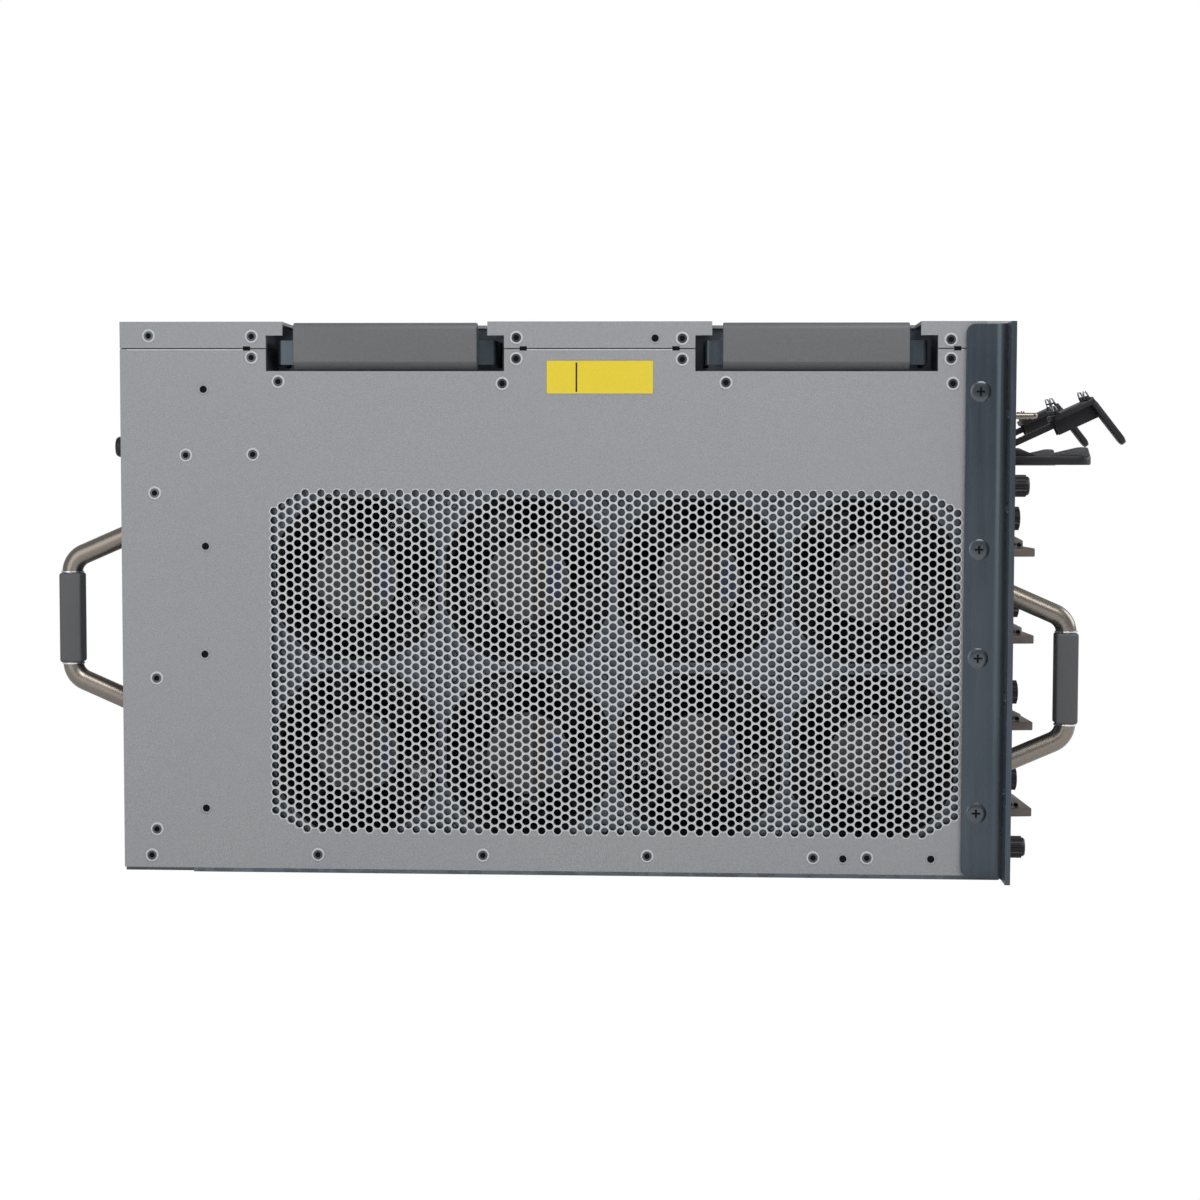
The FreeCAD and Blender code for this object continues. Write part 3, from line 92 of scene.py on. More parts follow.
def middle(node: str) -> Vector:
    """Return the middle of a construction node's box."""
    low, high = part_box(node)
    return (low + high) / 2


def card_level(slot: int) -> float:
    """Return the height of a card slot's floor, in millimetres."""
    return CARD_FLOOR + (slot - 1) * CARD_PITCH


# Shader nodes and finishes


def fill(tree: bpy.types.NodeTree, node: bpy.types.Node, inputs: dict[str | int, object]) -> None:
    """Give a node's inputs what they need.

    Args:
        tree: the tree that the node is in.
        node: the node.
        inputs: for each input a plain value, or an output socket to link to it.
    """
    for key, value in inputs.items():
        if isinstance(value, bpy.types.NodeSocket):
            tree.links.new(value, node.inputs[key])
        else:
            node.inputs[key].default_value = value


def add_node(tree: bpy.types.NodeTree, kind: str, inputs: dict[str | int, object] | None = None,
             **settings: object) -> bpy.types.Node:
    """Add a shader node to a tree.

    Args:
        tree: the tree.
        kind: the node's type, without its first word.
        inputs: what its inputs get, as `fill` takes it.
        settings: the node's own settings.

    Returns:
        The node.
    """
    node = tree.nodes.new(f"ShaderNode{kind}")
    for key, value in settings.items():
        setattr(node, key, value)
    fill(tree, node, inputs or {})
    return node


SOCKETS = {"Colour": ("Color", (0.5, 0.5, 0.5, 1.0)), "Roughness": ("Float", 0.5), "Scale": ("Float", 500.0),
           "Contrast": ("Float", 0.1), "Relief": ("Float", 0.1), "Amount": ("Float", 0.2), "Normal": ("Vector", None)}


def new_group(name: str, inputs: Sequence[str],
              outputs: Sequence[str]) -> tuple[bpy.types.NodeTree, bpy.types.Node, bpy.types.Node]:
    """Make an empty shader group with sockets of the kinds in SOCKETS.

    Args:
        name: the group's name.
        inputs: names of its inputs.
        outputs: names of its outputs.

    Returns:
        The group, its input node and its output node.
    """
    group = bpy.data.node_groups.new(name, "ShaderNodeTree")
    for way, labels in (("INPUT", inputs), ("OUTPUT", outputs)):
        for label in labels:
            kind, value = SOCKETS[label]
            socket = group.interface.new_socket(label, in_out=way, socket_type=f"NodeSocket{kind}")
            if way == "INPUT":
                socket.default_value = value
    return group, group.nodes.new("NodeGroupInput"), group.nodes.new("NodeGroupOutput")


def grain_group(grain: Grain) -> bpy.types.NodeTree:
    """Return a grain's shader group: a pattern that turns into tone, roughness and relief.

    Args:
        grain: the grain.

    Returns:
        The group, built the first time that it is asked for.
    """
    name, stretch, texture = grain.value
    if name in bpy.data.node_groups:
        return bpy.data.node_groups[name]
    group, entry, leave = new_group(name, ("Colour", "Scale", "Contrast", "Roughness", "Relief"),
                                    ("Colour", "Roughness", "Normal"))
    given = entry.outputs
    mapping = add_node(group, "Mapping", {"Vector": add_node(group, "TexCoord").outputs["Object"], "Scale": stretch})
    pattern = add_node(group, texture, {"Vector": mapping.outputs["Vector"], "Scale": given["Scale"]})
    value = pattern.outputs["Color"]
    if texture == "TexNoise":
        pattern.inputs["Detail"].default_value = 3.0
        value = pattern.outputs["Fac"]
    centred = add_node(group, "MapRange", {"Value": value, "From Min": 0.25, "From Max": 0.75, "To Min": -1.0},
                       clamp=True).outputs["Result"]
    tone = add_node(group, "Math", {0: centred, 1: given["Contrast"], 2: 1.0},
                    operation="MULTIPLY_ADD").outputs["Value"]
    shade = add_node(group, "VectorMath", {0: given["Colour"], "Scale": tone}, operation="SCALE")
    rough = add_node(group, "Math", {0: tone, 1: given["Roughness"]}, operation="MULTIPLY")
    bump = add_node(group, "Bump", {"Distance": 0.0002, "Strength": given["Relief"], "Height": centred})
    fill(group, leave, {"Colour": shade.outputs["Vector"], "Roughness": rough.outputs["Value"],
                        "Normal": bump.outputs["Normal"]})
    return group


def wear_group() -> bpy.types.NodeTree:
    """Return the shader group that lays broad, faint scuffs and dust over a finish.

    Returns:
        The shader group.
    """
    name = "Scuffs and dust"
    if name in bpy.data.node_groups:
        return bpy.data.node_groups[name]
    group, entry, leave = new_group(name, ("Colour", "Roughness", "Amount"), ("Colour", "Roughness"))
    given = entry.outputs
    cloud = add_node(group, "TexNoise", {"Vector": add_node(group, "TexCoord").outputs["Object"], "Scale": 11.0,
                                         "Detail": 5.0})
    mask = add_node(group, "MapRange", {"Value": cloud.outputs["Fac"], "From Min": 0.42, "From Max": 0.72})
    share = add_node(group, "Math", {0: mask.outputs["Result"], 1: given["Amount"]},
                     operation="MULTIPLY").outputs["Value"]
    faint = add_node(group, "Math", {0: share, 1: 0.25}, operation="MULTIPLY")
    dust = add_node(group, "Mix", {0: faint.outputs["Value"], 6: given["Colour"], 7: (0.45, 0.44, 0.42, 1.0)},
                    data_type="RGBA")
    rough = add_node(group, "Math", {0: share, 1: 0.35, 2: given["Roughness"]}, operation="MULTIPLY_ADD")
    fill(group, leave, {"Colour": dust.outputs[2], "Roughness": rough.outputs["Value"]})
    return group


@dataclass(frozen=True)
class Finish:
    """One surface finish: its colour, gloss and how its grain varies.

    Attributes:
        name: the material's name.
        slot: the record's material slot that it belongs to; not used.
        colour: base colour, linear.
        roughness: mean roughness.
        metallic: metallic share.
        grain: how the tone varies.
        scale: grain size, as cells a metre.
        contrast: how far the tone varies, as a share.
        bump: height of the grain's relief.
        coat: clear coat weight.
        wear: share of light scuffs and dust.
        gloss: level of the surface's own mirror reflection, 0.5 for most.
    """

    name: str
    slot: str
    colour: Point
    roughness: float
    metallic: float = 0.0
    grain: Grain = Grain.SPECKLE
    scale: float = 900.0
    contrast: float = 0.12
    bump: float = 0.05
    coat: float = 0.0
    wear: float = 0.15
    gloss: float = 0.5

    def material(self) -> bpy.types.Material:
        """Return the finish's material, built the first time that it is asked for.

        Returns:
            The material.
        """
        if self.name in bpy.data.materials:
            return bpy.data.materials[self.name]
        material = bpy.data.materials.new(self.name)
        material.use_nodes = True
        tree = material.node_tree
        grain = add_node(tree, "Group", {"Colour": (*self.colour, 1.0), "Scale": self.scale, "Contrast": self.contrast,
                                         "Roughness": self.roughness, "Relief": self.bump},
                         node_tree=grain_group(self.grain)).outputs
        wear = add_node(tree, "Group", {"Amount": self.wear, "Colour": grain["Colour"],
                                        "Roughness": grain["Roughness"]}, node_tree=wear_group()).outputs
        fill(tree, tree.nodes["Principled BSDF"], {
            "Metallic": self.metallic, "Specular IOR Level": self.gloss, "Coat Weight": self.coat,
            "Coat Roughness": 0.25, "Base Color": wear["Colour"], "Roughness": wear["Roughness"],
            "Normal": grain["Normal"]})
        return material


POWDER = Finish("Powder coat grey", "powder_grey", (0.236, 0.240, 0.247), 0.55, scale=2600, contrast=0.26, bump=0.25)
# Lighter copy of the powder grey for the punched webs, the rivet rings and the fold line: painted highlight.
POWDER_HIGHLIGHT = Finish("Punched web grey", "powder_grey", (0.43, 0.435, 0.44), 0.45, scale=2600, contrast=0.2, bump=0.2)
HEADER = Finish("Header grey", "header_grey", (0.33, 0.33, 0.34), 0.5, scale=2200, contrast=0.15, bump=0.15)
FACE = Finish("Faceplate grey", "face_grey", (0.11, 0.115, 0.125), 0.42, scale=2000, contrast=0.15, bump=0.1)
# Galvanised colour darkened to stand for the shade behind the punched walls, on every galvanised part: painted shade.
SHADED_GALVANISED = Finish("Galvanised sheet", "galvanised", (0.105, 0.122, 0.142), 0.38, 0.85, Grain.SPANGLE, 160, 0.16, 0.03)
DARK_ZINC = Finish("Dark zinc plate", "dark_zinc", (0.058, 0.073, 0.088), 0.26, 0.7, Grain.BRUSHED, 260, 0.14, 0.02)
NICKEL = Finish("Satin nickel", "nickel", (0.235, 0.205, 0.175), 0.27, 1.0, Grain.SPECKLE, 1800, 0.12, 0.06)
BRIGHT = Finish("Bright wire", "wire", (0.75, 0.75, 0.77), 0.15, 1.0, Grain.SPECKLE, 900, 0.06, 0.02)
CAST = Finish("Cast lever metal", "cast_metal", (0.15, 0.135, 0.122), 0.45, 0.6, Grain.SPECKLE, 1500, 0.18, 0.2)
# Darker copy of the lever's cast metal for the lower tier: painted shade.
CAST_LIP_SHADE = Finish("Cast lever lip", "cast_metal", (0.13, 0.108, 0.094), 0.42, 0.5, Grain.SPECKLE, 1500, 0.18, 0.2)
SLEEVE = Finish("Sleeve grey", "sleeve_grey", (0.062, 0.062, 0.064), 0.5, scale=1600, contrast=0.1, bump=0.12)
GRIP = Finish("Grip grey", "grip_grey", (0.10, 0.10, 0.104), 0.5, scale=1500, contrast=0.12, bump=0.2)
BLACK = Finish("Black plastic", "black_plastic", (0.011, 0.0105, 0.012), 0.4, scale=1500, contrast=0.2, bump=0.15,
               wear=0.04, gloss=0.3)
TEXTURED = Finish("Textured grey inlay", "black_plastic", (0.055, 0.055, 0.058), 0.5, scale=700, contrast=0.3, bump=0.9,
                  wear=0.05, gloss=0.3)
# Black fan plastic darkened further to stand for the shade behind the punched walls: painted shade.
SHADED_FAN = Finish("Fan plastic", "fan_plastic", (0.009, 0.009, 0.010), 0.45, scale=900, contrast=0.15, bump=0.1,
             wear=0.02, gloss=0.12)
BOARD = Finish("Circuit board", "board_green", (0.02, 0.09, 0.045), 0.4, scale=300, contrast=0.3, coat=0.3)
ZINC_SCREW = Finish("Zinc screw head", "dark_zinc", (0.085, 0.098, 0.108), 0.22, 0.9, Grain.SPECKLE, 900, 0.08, 0.02)
STEEL = Finish("Plated screw steel", "galvanised", (0.50, 0.50, 0.50), 0.28, 1.0, Grain.SPECKLE, 1200, 0.1, 0.03)
# Near-black with no mirror reflection, for dark pieces put where holes and recesses are in shade: painted shade.
RECESS_SHADE = Finish("Dark recess", "fan_plastic", (0.008, 0.008, 0.009), 0.7, scale=600, contrast=0.1,
                   wear=0.0, gloss=0.0)
YELLOW = Finish("Yellow plate", "powder_grey", (0.62, 0.475, 0.012), 0.45, scale=900, contrast=0.05, bump=0.02)
# Silver colour darkened to stand for the shade behind the punched walls: painted shade.
SHADED_HUB_SILVER = Finish("Silver hub disc", "galvanised", (0.085, 0.088, 0.094), 0.35, 0.4, Grain.SPECKLE, 700, 0.08, 0.02)
BROWN_LABEL = Finish("Brown hub band", "galvanised", (0.035, 0.022, 0.016), 0.45, scale=700, contrast=0.1)
BLUE_LABEL = Finish("Blue hub patch", "galvanised", (0.03, 0.04, 0.09), 0.4, scale=700, contrast=0.1)
PORT_METAL = Finish("Port cage metal", "galvanised", (0.42, 0.42, 0.41), 0.3, 1.0, Grain.SPECKLE, 900, 0.08, 0.02)
GREEN_LAMP = Finish("Status lamp", "board_green", (0.10, 0.45, 0.12), 0.25, scale=300, contrast=0.05, coat=0.5)


# Modelling helpers, all in metres


def activate(obj: bpy.types.Object) -> None:
    """Select one object alone and make it active.

    Args:
        obj: the object.
    """
    bpy.ops.object.select_all(action="DESELECT")
    obj.select_set(True)
    bpy.context.view_layer.objects.active = obj


def named(name: str) -> bpy.types.Object:
    """Name the active object and its data, and return it.

    Args:
        name: the new name.

    Returns:
        The same object.
    """
    obj = bpy.context.view_layer.objects.active
    obj.name = obj.data.name = name
    return obj


def fresh(name: str, add: Callable[..., object], **settings: object) -> bpy.types.Object:
    """Add an object with nothing else selected, and name it.

    Args:
        name: its name.
        add: the operator that adds it.
        settings: the operator's settings.

    Returns:
        The new object.
    """
    bpy.ops.object.select_all(action="DESELECT")
    add(**settings)
    return named(name)


@contextmanager
def edit(obj: bpy.types.Object) -> Iterator[None]:
    """Open an object in edit mode for a while, with all of it selected.

    Args:
        obj: the object.

    Yields:
        Nothing.
    """
    activate(obj)
    bpy.ops.object.mode_set(mode="EDIT")
    bpy.ops.mesh.select_all(action="SELECT")
    yield
    bpy.ops.object.mode_set(mode="OBJECT")


def select(obj: bpy.types.Object, kind: str, test: Callable[..., bool]) -> None:
    """In edit mode, select the parts of one kind that pass a test.

    Args:
        obj: the object in edit mode.
        kind: VERT, EDGE or FACE.
        test: takes a vertex, edge or face.
    """
    bpy.ops.mesh.select_all(action="DESELECT")
    bpy.ops.mesh.select_mode(type=kind)
    shape = bmesh.from_edit_mesh(obj.data)
    for part in {"VERT": shape.verts, "EDGE": shape.edges, "FACE": shape.faces}[kind]:
        part.select_set(test(part))
    bmesh.update_edit_mesh(obj.data)


def tidy_normals(obj: bpy.types.Object) -> None:
    """Merge doubles and point every face outwards.

    Args:
        obj: the piece.
    """
    with edit(obj):
        bpy.ops.mesh.remove_doubles(threshold=1e-6)
        bpy.ops.mesh.normals_make_consistent(inside=False)


def settle(obj: bpy.types.Object, place: Vector | None = None, turn: Point = Facing.UP.value) -> bpy.types.Object:
    """Turn and move a piece, and put that into its mesh.

    Args:
        obj: the piece, modelled about the origin.
        place: where its origin goes.
        turn: its turns about X, Y and Z, in radians.

    Returns:
        The same piece.
    """
    activate(obj)
    obj.rotation_euler = turn
    obj.location = place or Vector()
    bpy.ops.object.transform_apply(location=True, rotation=True, scale=True)
    return obj


def modifier(obj: bpy.types.Object, kind: str, **settings: object) -> None:
    """Add a modifier and apply it.

    Args:
        obj: the piece.
        kind: the modifier's type.
        settings: its settings.
    """
    activate(obj)
    bpy.ops.object.modifier_add(type=kind)
    added = obj.modifiers[-1]
    for key, value in settings.items():
        setattr(added, key, value)
    bpy.ops.object.modifier_apply(modifier=added.name)


def cut(obj: bpy.types.Object, cutter: bpy.types.Object, operation: str = "DIFFERENCE") -> bpy.types.Object:
    """Cut a piece with another, and drop the other.

    Args:
        obj: the piece.
        cutter: the piece that is taken out of it.
        operation: DIFFERENCE, or INTERSECT to keep what both share.

    Returns:
        The same piece.
    """
    modifier(obj, "BOOLEAN", object=cutter, operation=operation, solver="EXACT")
    bpy.data.objects.remove(cutter)
    return obj


def block(name: str, low: Vector, high: Vector, bevel: float = 0.0, segments: int = 2) -> bpy.types.Object:
    """Model a box with rounded edges.

    Args:
        name: the piece's name.
        low: lowest corner.
        high: highest corner.
        bevel: width of the rounding, or 0 for none.
        segments: steps in the rounding.

    Returns:
        The new piece.
    """
    obj = fresh(name, bpy.ops.mesh.primitive_cube_add, size=1)
    with edit(obj):
        bpy.ops.transform.resize(value=tuple(high - low))
        bpy.ops.transform.translate(value=tuple((low + high) / 2))
        if bevel:
            bpy.ops.mesh.bevel(offset=bevel, segments=segments, affect="EDGES")
    return obj


def turned(name: str, profile: Sequence[Pair], place: Vector | None = None, facing: Facing = Facing.UP,
           sides: int = 32) -> bpy.types.Object:
    """Model a turned piece: a disc extruded and scaled ring by ring.

    Args:
        name: the piece's name.
        profile: radius and height of each ring.
        place: where the profile's zero goes.
        facing: the way that heights run.
        sides: vertices in each ring.

    Returns:
        The new piece.
    """
    radius, height = profile[0]
    obj = fresh(name, bpy.ops.mesh.primitive_circle_add, vertices=sides, radius=radius, fill_type="NGON")
    with edit(obj):
        bpy.ops.transform.translate(value=(0, 0, height))
        for next_radius, next_height in profile[1:]:
            bpy.ops.mesh.extrude_region_move(TRANSFORM_OT_translate={"value": (0, 0, next_height - height)})
            share = next_radius / radius
            bpy.ops.transform.resize(value=(share, share, 1), center_override=(0, 0, next_height))
            radius, height = next_radius, next_height
    tidy_normals(settle(obj, place, facing.value))
    return obj


def chain(name: str, points: Sequence[Vector]) -> bpy.types.Object:
    """Draw a chain of edges, extruding one vertex from each point to the next.

    Args:
        name: the chain's name.
        points: its points.

    Returns:
        The chain.
    """
    obj = fresh(name, bpy.ops.mesh.primitive_plane_add, size=MM)
    with edit(obj):
        bpy.ops.mesh.merge(type="CENTER")
        bpy.ops.mesh.select_mode(type="VERT")
        bpy.ops.mesh.select_all(action="SELECT")
        bpy.ops.transform.translate(value=tuple(points[0]))
        for start, end in zip(points, points[1:]):
            bpy.ops.mesh.extrude_vertices_move(TRANSFORM_OT_translate={"value": tuple(end - start)})
    return obj


def prism(name: str, points: Sequence[Vector], depth: Vector, bevel: float = 0.0,
          segments: int = 2) -> bpy.types.Object:
    """Model a flat outline extruded by a vector.

    Args:
        name: the piece's name.
        points: the outline's corners, in one plane.
        depth: the way and distance that it is extruded.
        bevel: width of the edges' rounding, or 0 for none.
        segments: steps in the rounding.

    Returns:
        The new piece.
    """
    obj = chain(name, [*points, points[0]])
    with edit(obj):
        bpy.ops.mesh.edge_face_add()
        bpy.ops.mesh.extrude_region_move(TRANSFORM_OT_translate={"value": tuple(depth)})
    tidy_normals(obj)
    if bevel:
        modifier(obj, "BEVEL", width=bevel, segments=segments, limit_method="ANGLE")
    return obj


def tube(name: str, points: Sequence[Vector], radius: float, sides: int = 16) -> bpy.types.Object:
    """Model a round bar that follows points.

    Args:
        name: the piece's name.
        points: points along its centre line.
        radius: the bar's radius.
        sides: vertices round it.

    Returns:
        The new piece.
    """
    activate(chain(name, points))
    bpy.ops.object.convert(target="CURVE")
    curve = bpy.context.view_layer.objects.active
    curve.data.bevel_depth = radius
    curve.data.bevel_resolution = sides // 4 - 1
    curve.data.use_fill_caps = True
    bpy.ops.object.convert(target="MESH")
    obj = named(name)
    tidy_normals(obj)
    return obj


def folded(name: str, path: Sequence[Vector], rise: Vector, thickness: float) -> bpy.types.Object:
    """Model folded sheet metal: a path drawn out by a vector and given its thickness to both sides.

    Args:
        name: the piece's name.
        path: points along the sheet's edge.
        rise: the way and distance that the path is drawn out.
        thickness: the sheet's thickness.

    Returns:
        The new piece.
    """
    obj = chain(name, path)
    with edit(obj):
        bpy.ops.mesh.extrude_region_move(TRANSFORM_OT_translate={"value": tuple(rise)})
    modifier(obj, "SOLIDIFY", thickness=thickness, offset=0.0, use_even_offset=True)
    tidy_normals(obj)
    return obj


def rounded(points: Sequence[Vector], radius: float, steps: int = 6) -> list[Vector]:
    """Round the inner corners of an open path.

    Args:
        points: the path's corners.
        radius: the rounding's radius.
        steps: edges in each rounding.

    Returns:
        The path's points with arcs in place of its inner corners.
    """
    path = [points[0]]
    for before, corner, after in zip(points, points[1:], points[2:]):
        back = (before - corner).normalized()
        ahead = (after - corner).normalized()
        half = back.angle(ahead) / 2
        centre = corner + (back + ahead).normalized() * (radius / math.sin(half))
        start = (corner + back * (radius / math.tan(half)) - centre).normalized()
        stop = (corner + ahead * (radius / math.tan(half)) - centre).normalized()
        path += [centre + start.slerp(stop, step / steps) * radius for step in range(steps + 1)]
    return path + [points[-1]]


def arc(centre: Vector, across: Vector, up: Vector, ends: Pair, steps: int) -> list[Vector]:
    """Return points on an arc or a part of an ellipse.

    Args:
        centre: its middle.
        across: its half axis at angle 0.
        up: its half axis at a quarter turn.
        ends: the angles that it starts and ends at, in degrees.
        steps: edges in it.

    Returns:
        The points, one more than steps.
    """
    angles = [math.radians(ends[0] + (ends[1] - ends[0]) * step / steps) for step in range(steps + 1)]
    return [centre + across * math.cos(angle) + up * math.sin(angle) for angle in angles]


def joined(name: str, pieces: Sequence[bpy.types.Object]) -> bpy.types.Object:
    """Join pieces of one finish into one.

    Args:
        name: the joined piece's name.
        pieces: the pieces.

    Returns:
        The joined piece.
    """
    activate(pieces[0])
    for piece in pieces[1:]:
        piece.select_set(True)
    if len(pieces) > 1:
        bpy.ops.object.join()
    return named(name)


def copied(obj: bpy.types.Object, name: str, move: Vector | None = None, mirror: bool = False) -> bpy.types.Object:
    """Copy a piece with its own mesh.

    Args:
        obj: the piece to copy.
        name: the copy's name.
        move: how far the copy is moved.
        mirror: True mirrors it in X.

    Returns:
        The copy.
    """
    activate(obj)
    bpy.ops.object.duplicate(linked=False)
    twin = named(name)
    if mirror:
        twin.scale = (-1.0, 1.0, 1.0)
    settle(twin, move)
    if mirror:
        tidy_normals(twin)
    return twin


def scattered(name: str, master: bpy.types.Object, places: Sequence[Vector], facing: Facing = Facing.UP,
              keep: bool = False) -> bpy.types.Object:
    """Copy a small piece to many places and join the copies.

    Args:
        name: the joined piece's name.
        master: the piece, modelled at the origin and facing up.
        places: where the copies go.
        facing: the way that they face.
        keep: True leaves the master for another use.

    Returns:
        The joined piece.
    """
    if keep:
        master = copied(master, name)
    settle(master, turn=facing.value)
    copies = [copied(master, name, place) for place in places]
    bpy.data.objects.remove(master)
    return joined(name, copies)


def paint(node: str, finish: Finish) -> bpy.types.Object:
    """Give a piece or a construction node its finish, and return it.

    Args:
        node: the name of the piece or of the construction node.
        finish: its finish.

    Returns:
        The object that has that name.
    """
    obj = bpy.data.objects[node]
    obj.data.materials.clear()
    obj.data.materials.append(finish.material())
    return obj


def dress(obj: bpy.types.Object, finish: Finish, body: str, node: str = "", smooth: float = 35.0) -> None:
    """Give a piece its finish, shade it and let it ride on its body.

    Args:
        obj: the piece.
        finish: its finish.
        body: the body that carries it.
        node: the construction node that it stands for, if any.
        smooth: edges flatter than this angle, in degrees, are shaded smooth.
    """
    activate(paint(obj.name, finish))
    bpy.ops.object.shade_smooth_by_angle(angle=math.radians(smooth))
    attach(obj, body)
    if node:
        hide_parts(node)
    LOG.info("%s on %s: %d faces", obj.name, body, len(obj.data.polygons))


def dress_pair(left: bpy.types.Object, finish: Finish, body: str = "chassis", node: str = "",
               smooth: float = 35.0) -> None:
    """Mirror a left piece to the right, and dress both, each with its side's word in every name.

    Args:
        left: the left piece.
        finish: their finish.
        body: the body that carries the left one.
        node: the construction node that the left one stands for, if any.
        smooth: edges flatter than this angle, in degrees, are shaded smooth.
    """
    right = copied(left, left.name.replace("left", "right"), mirror=True)
    for obj, word in ((left, "left"), (right, "right")):
        dress(obj, finish, body.replace("left", word), node.replace("left", word), smooth)


# Sub-assemblies


@dataclass
class PunchedWalls:
    """The two side walls, each punched with a close field of round holes on a six-sided lattice.

    Sizes are in millimetres.
    """

    row_pitch: float = 4.39
    hole: float = 3.74
    hole_sides: int = 12
    rows: int = 38
    columns: int = 87
    corner_columns: int = 4
    thickness: float = 1.5
    field_middle_y: float = -25.15
    field_middle_z: float = 102.74
    pocket_half: float = 57.3
    tab_depth: float = 8.0
    weld: float = 0.02
    sliver: float = 0.05

    @property
    def cell(self) -> float:
        """Return the corner radius of a lattice cell, in metres."""
        return self.row_pitch / math.sqrt(3) * MM

    def build(self) -> None:
        """Build both walls in place of the construction ones."""
        low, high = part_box("side_wall_left")
        whole = self.flat_field()
        front, rear = (copied(whole, f"side_wall_left_{place}_field") for place in ("front", "rear"))
        divide = self.columns // 2
        self.keep(front, lambda column, _level: column >= divide)
        self.keep(rear, lambda column, _level: column < divide)
        self.keep_rim(whole)
        for sheet in (whole, front, rear):
            self.stand(sheet, low.x)
        plate = self.plate(whole, low, high)
        # The punched webs take the lighter powder grey, painted highlight; the plain sheet keeps the powder grey.
        for sheet, finish in ((front, POWDER_HIGHLIGHT), (rear, POWDER_HIGHLIGHT), (plate, POWDER)):
            self.thicken(sheet)
            dress_pair(sheet, finish, node="side_wall_left", smooth=20)
        dress_pair(self.tabs(low, high), POWDER, node="side_wall_left", smooth=20)

    def flat_field(self) -> bpy.types.Object:
        """Return the whole punched field as a flat sheet at the origin, one ring of faces round each hole.

        Returns:
            The sheet.
        """
        radius = self.hole / 2 * MM
        tile = fresh("punched_field", bpy.ops.mesh.primitive_circle_add, vertices=self.hole_sides, radius=radius,
                     fill_type="NOTHING")
        with edit(tile):
            bpy.ops.mesh.extrude_region_move()
            share = self.cell / radius
            bpy.ops.transform.resize(value=(share, share, 1), center_override=(0, 0, 0))
            select(tile, "VERT", self.between_corners)
            inset = math.cos(math.pi / 6)
            bpy.ops.transform.resize(value=(inset, inset, 1), center_override=(0, 0, 0))
        second = copied(tile, "punched_field_second", Vector((1.5 * self.cell, self.row_pitch / 2 * MM, 0)))
        tile = joined("punched_field", [tile, second])
        steps = (((0.0, self.row_pitch * MM, 0.0), self.rows), ((3 * self.cell, 0.0, 0.0), (self.columns + 1) // 2))
        for step, count in steps:
            modifier(tile, "ARRAY", count=count, use_relative_offset=False, use_constant_offset=True,
                     constant_offset_displace=step)
        with edit(tile):
            bpy.ops.mesh.remove_doubles(threshold=self.weld * MM)
        self.keep(tile, self.inside)
        return tile

    def between_corners(self, vertex: bmesh.types.BMVert) -> bool:
        """Say whether a vertex of a tile's outer ring stands halfway between two corners of the hexagon."""
        turn = round(math.atan2(vertex.co.y, vertex.co.x) / (math.pi / 6))
        return vertex.co.length > self.cell * 0.99 and turn % 2 == 1

    def cell_of(self, point: Vector) -> tuple[int, float]:
        """Find the lattice cell that a point of the flat field lies in.

        Args:
            point: the point.

        Returns:
            The cell's column and level.
        """
        pitch = self.row_pitch * MM
        start = math.floor(point.x / (1.5 * self.cell))
        near = []
        for column in (start, start + 1):
            shift = column % 2 / 2
            level = round(point.y / pitch - shift) + shift
            near.append((math.hypot(point.x - column * 1.5 * self.cell, point.y - level * pitch), column, level))
        return min(near)[1:]

    def inside(self, column: int, level: float) -> bool:
        """Say whether a cell belongs to the field, whose corners are cut on a slant.

        Args:
            column: the cell's column.
            level: the cell's level.

        Returns:
            True where the field has the cell.
        """
        from_end = min(column, self.columns - 1 - column)
        from_edge = min(level, self.rows - 1 - level)
        return min(from_end, from_edge) >= 0 and from_edge >= (self.corner_columns - from_end) / 2

    def keep(self, sheet: bpy.types.Object, test: Callable[[int, float], bool]) -> None:
        """Delete the flat field's cells that fail a test of their column and level.

        Args:
            sheet: the flat field.
            test: says whether a cell stays.
        """
        with edit(sheet):
            select(sheet, "FACE", lambda face: not test(*self.cell_of(face.calc_center_median())))
            bpy.ops.mesh.delete(type="FACE")

    def keep_rim(self, sheet: bpy.types.Object) -> None:
        """Reduce the field to its ragged outer edge, with no vertex halfway along a straight side.

        Args:
            sheet: the flat field.
        """

        def straight(vertex: bmesh.types.BMVert) -> bool:
            """Say whether a vertex joins two edges in line."""
            ways = [(edge.other_vert(vertex).co - vertex.co).normalized() for edge in vertex.link_edges]
            return len(ways) == 2 and ways[0].dot(ways[1]) < -0.999

        with edit(sheet):
            select(sheet, "EDGE", lambda edge: not (edge.is_boundary and edge.calc_length() > self.cell * 0.45))
            bpy.ops.mesh.delete(type="EDGE")
            select(sheet, "VERT", straight)
            bpy.ops.mesh.dissolve_verts()

    def stand(self, sheet: bpy.types.Object, outer: float) -> None:
        """Stand a flat sheet up in the left wall's outer face, its columns running to the front.

        Args:
            sheet: the flat sheet.
            outer: where the wall's outer face is.
        """
        across = (self.columns - 1) * 1.5 * self.cell
        rise = (self.rows - 1) * self.row_pitch * MM
        place = mm(0, self.field_middle_y, self.field_middle_z) + Vector((outer, across / 2, -rise / 2))
        settle(sheet, place, (math.pi / 2, 0.0, -math.pi / 2))

    def pockets(self, margin: float) -> list[Pair]:
        """Return where each handle's pocket starts and ends in Y, from front to rear, with a margin.

        Args:
            margin: how much is left free on either side.

        Returns:
            The start and the end of each.
        """
        reach = (self.pocket_half + margin) * MM
        centres = [middle(f"lift_strap_left_{place}").y for place in ("front", "rear")]
        return [(centre - reach, centre + reach) for centre in centres]

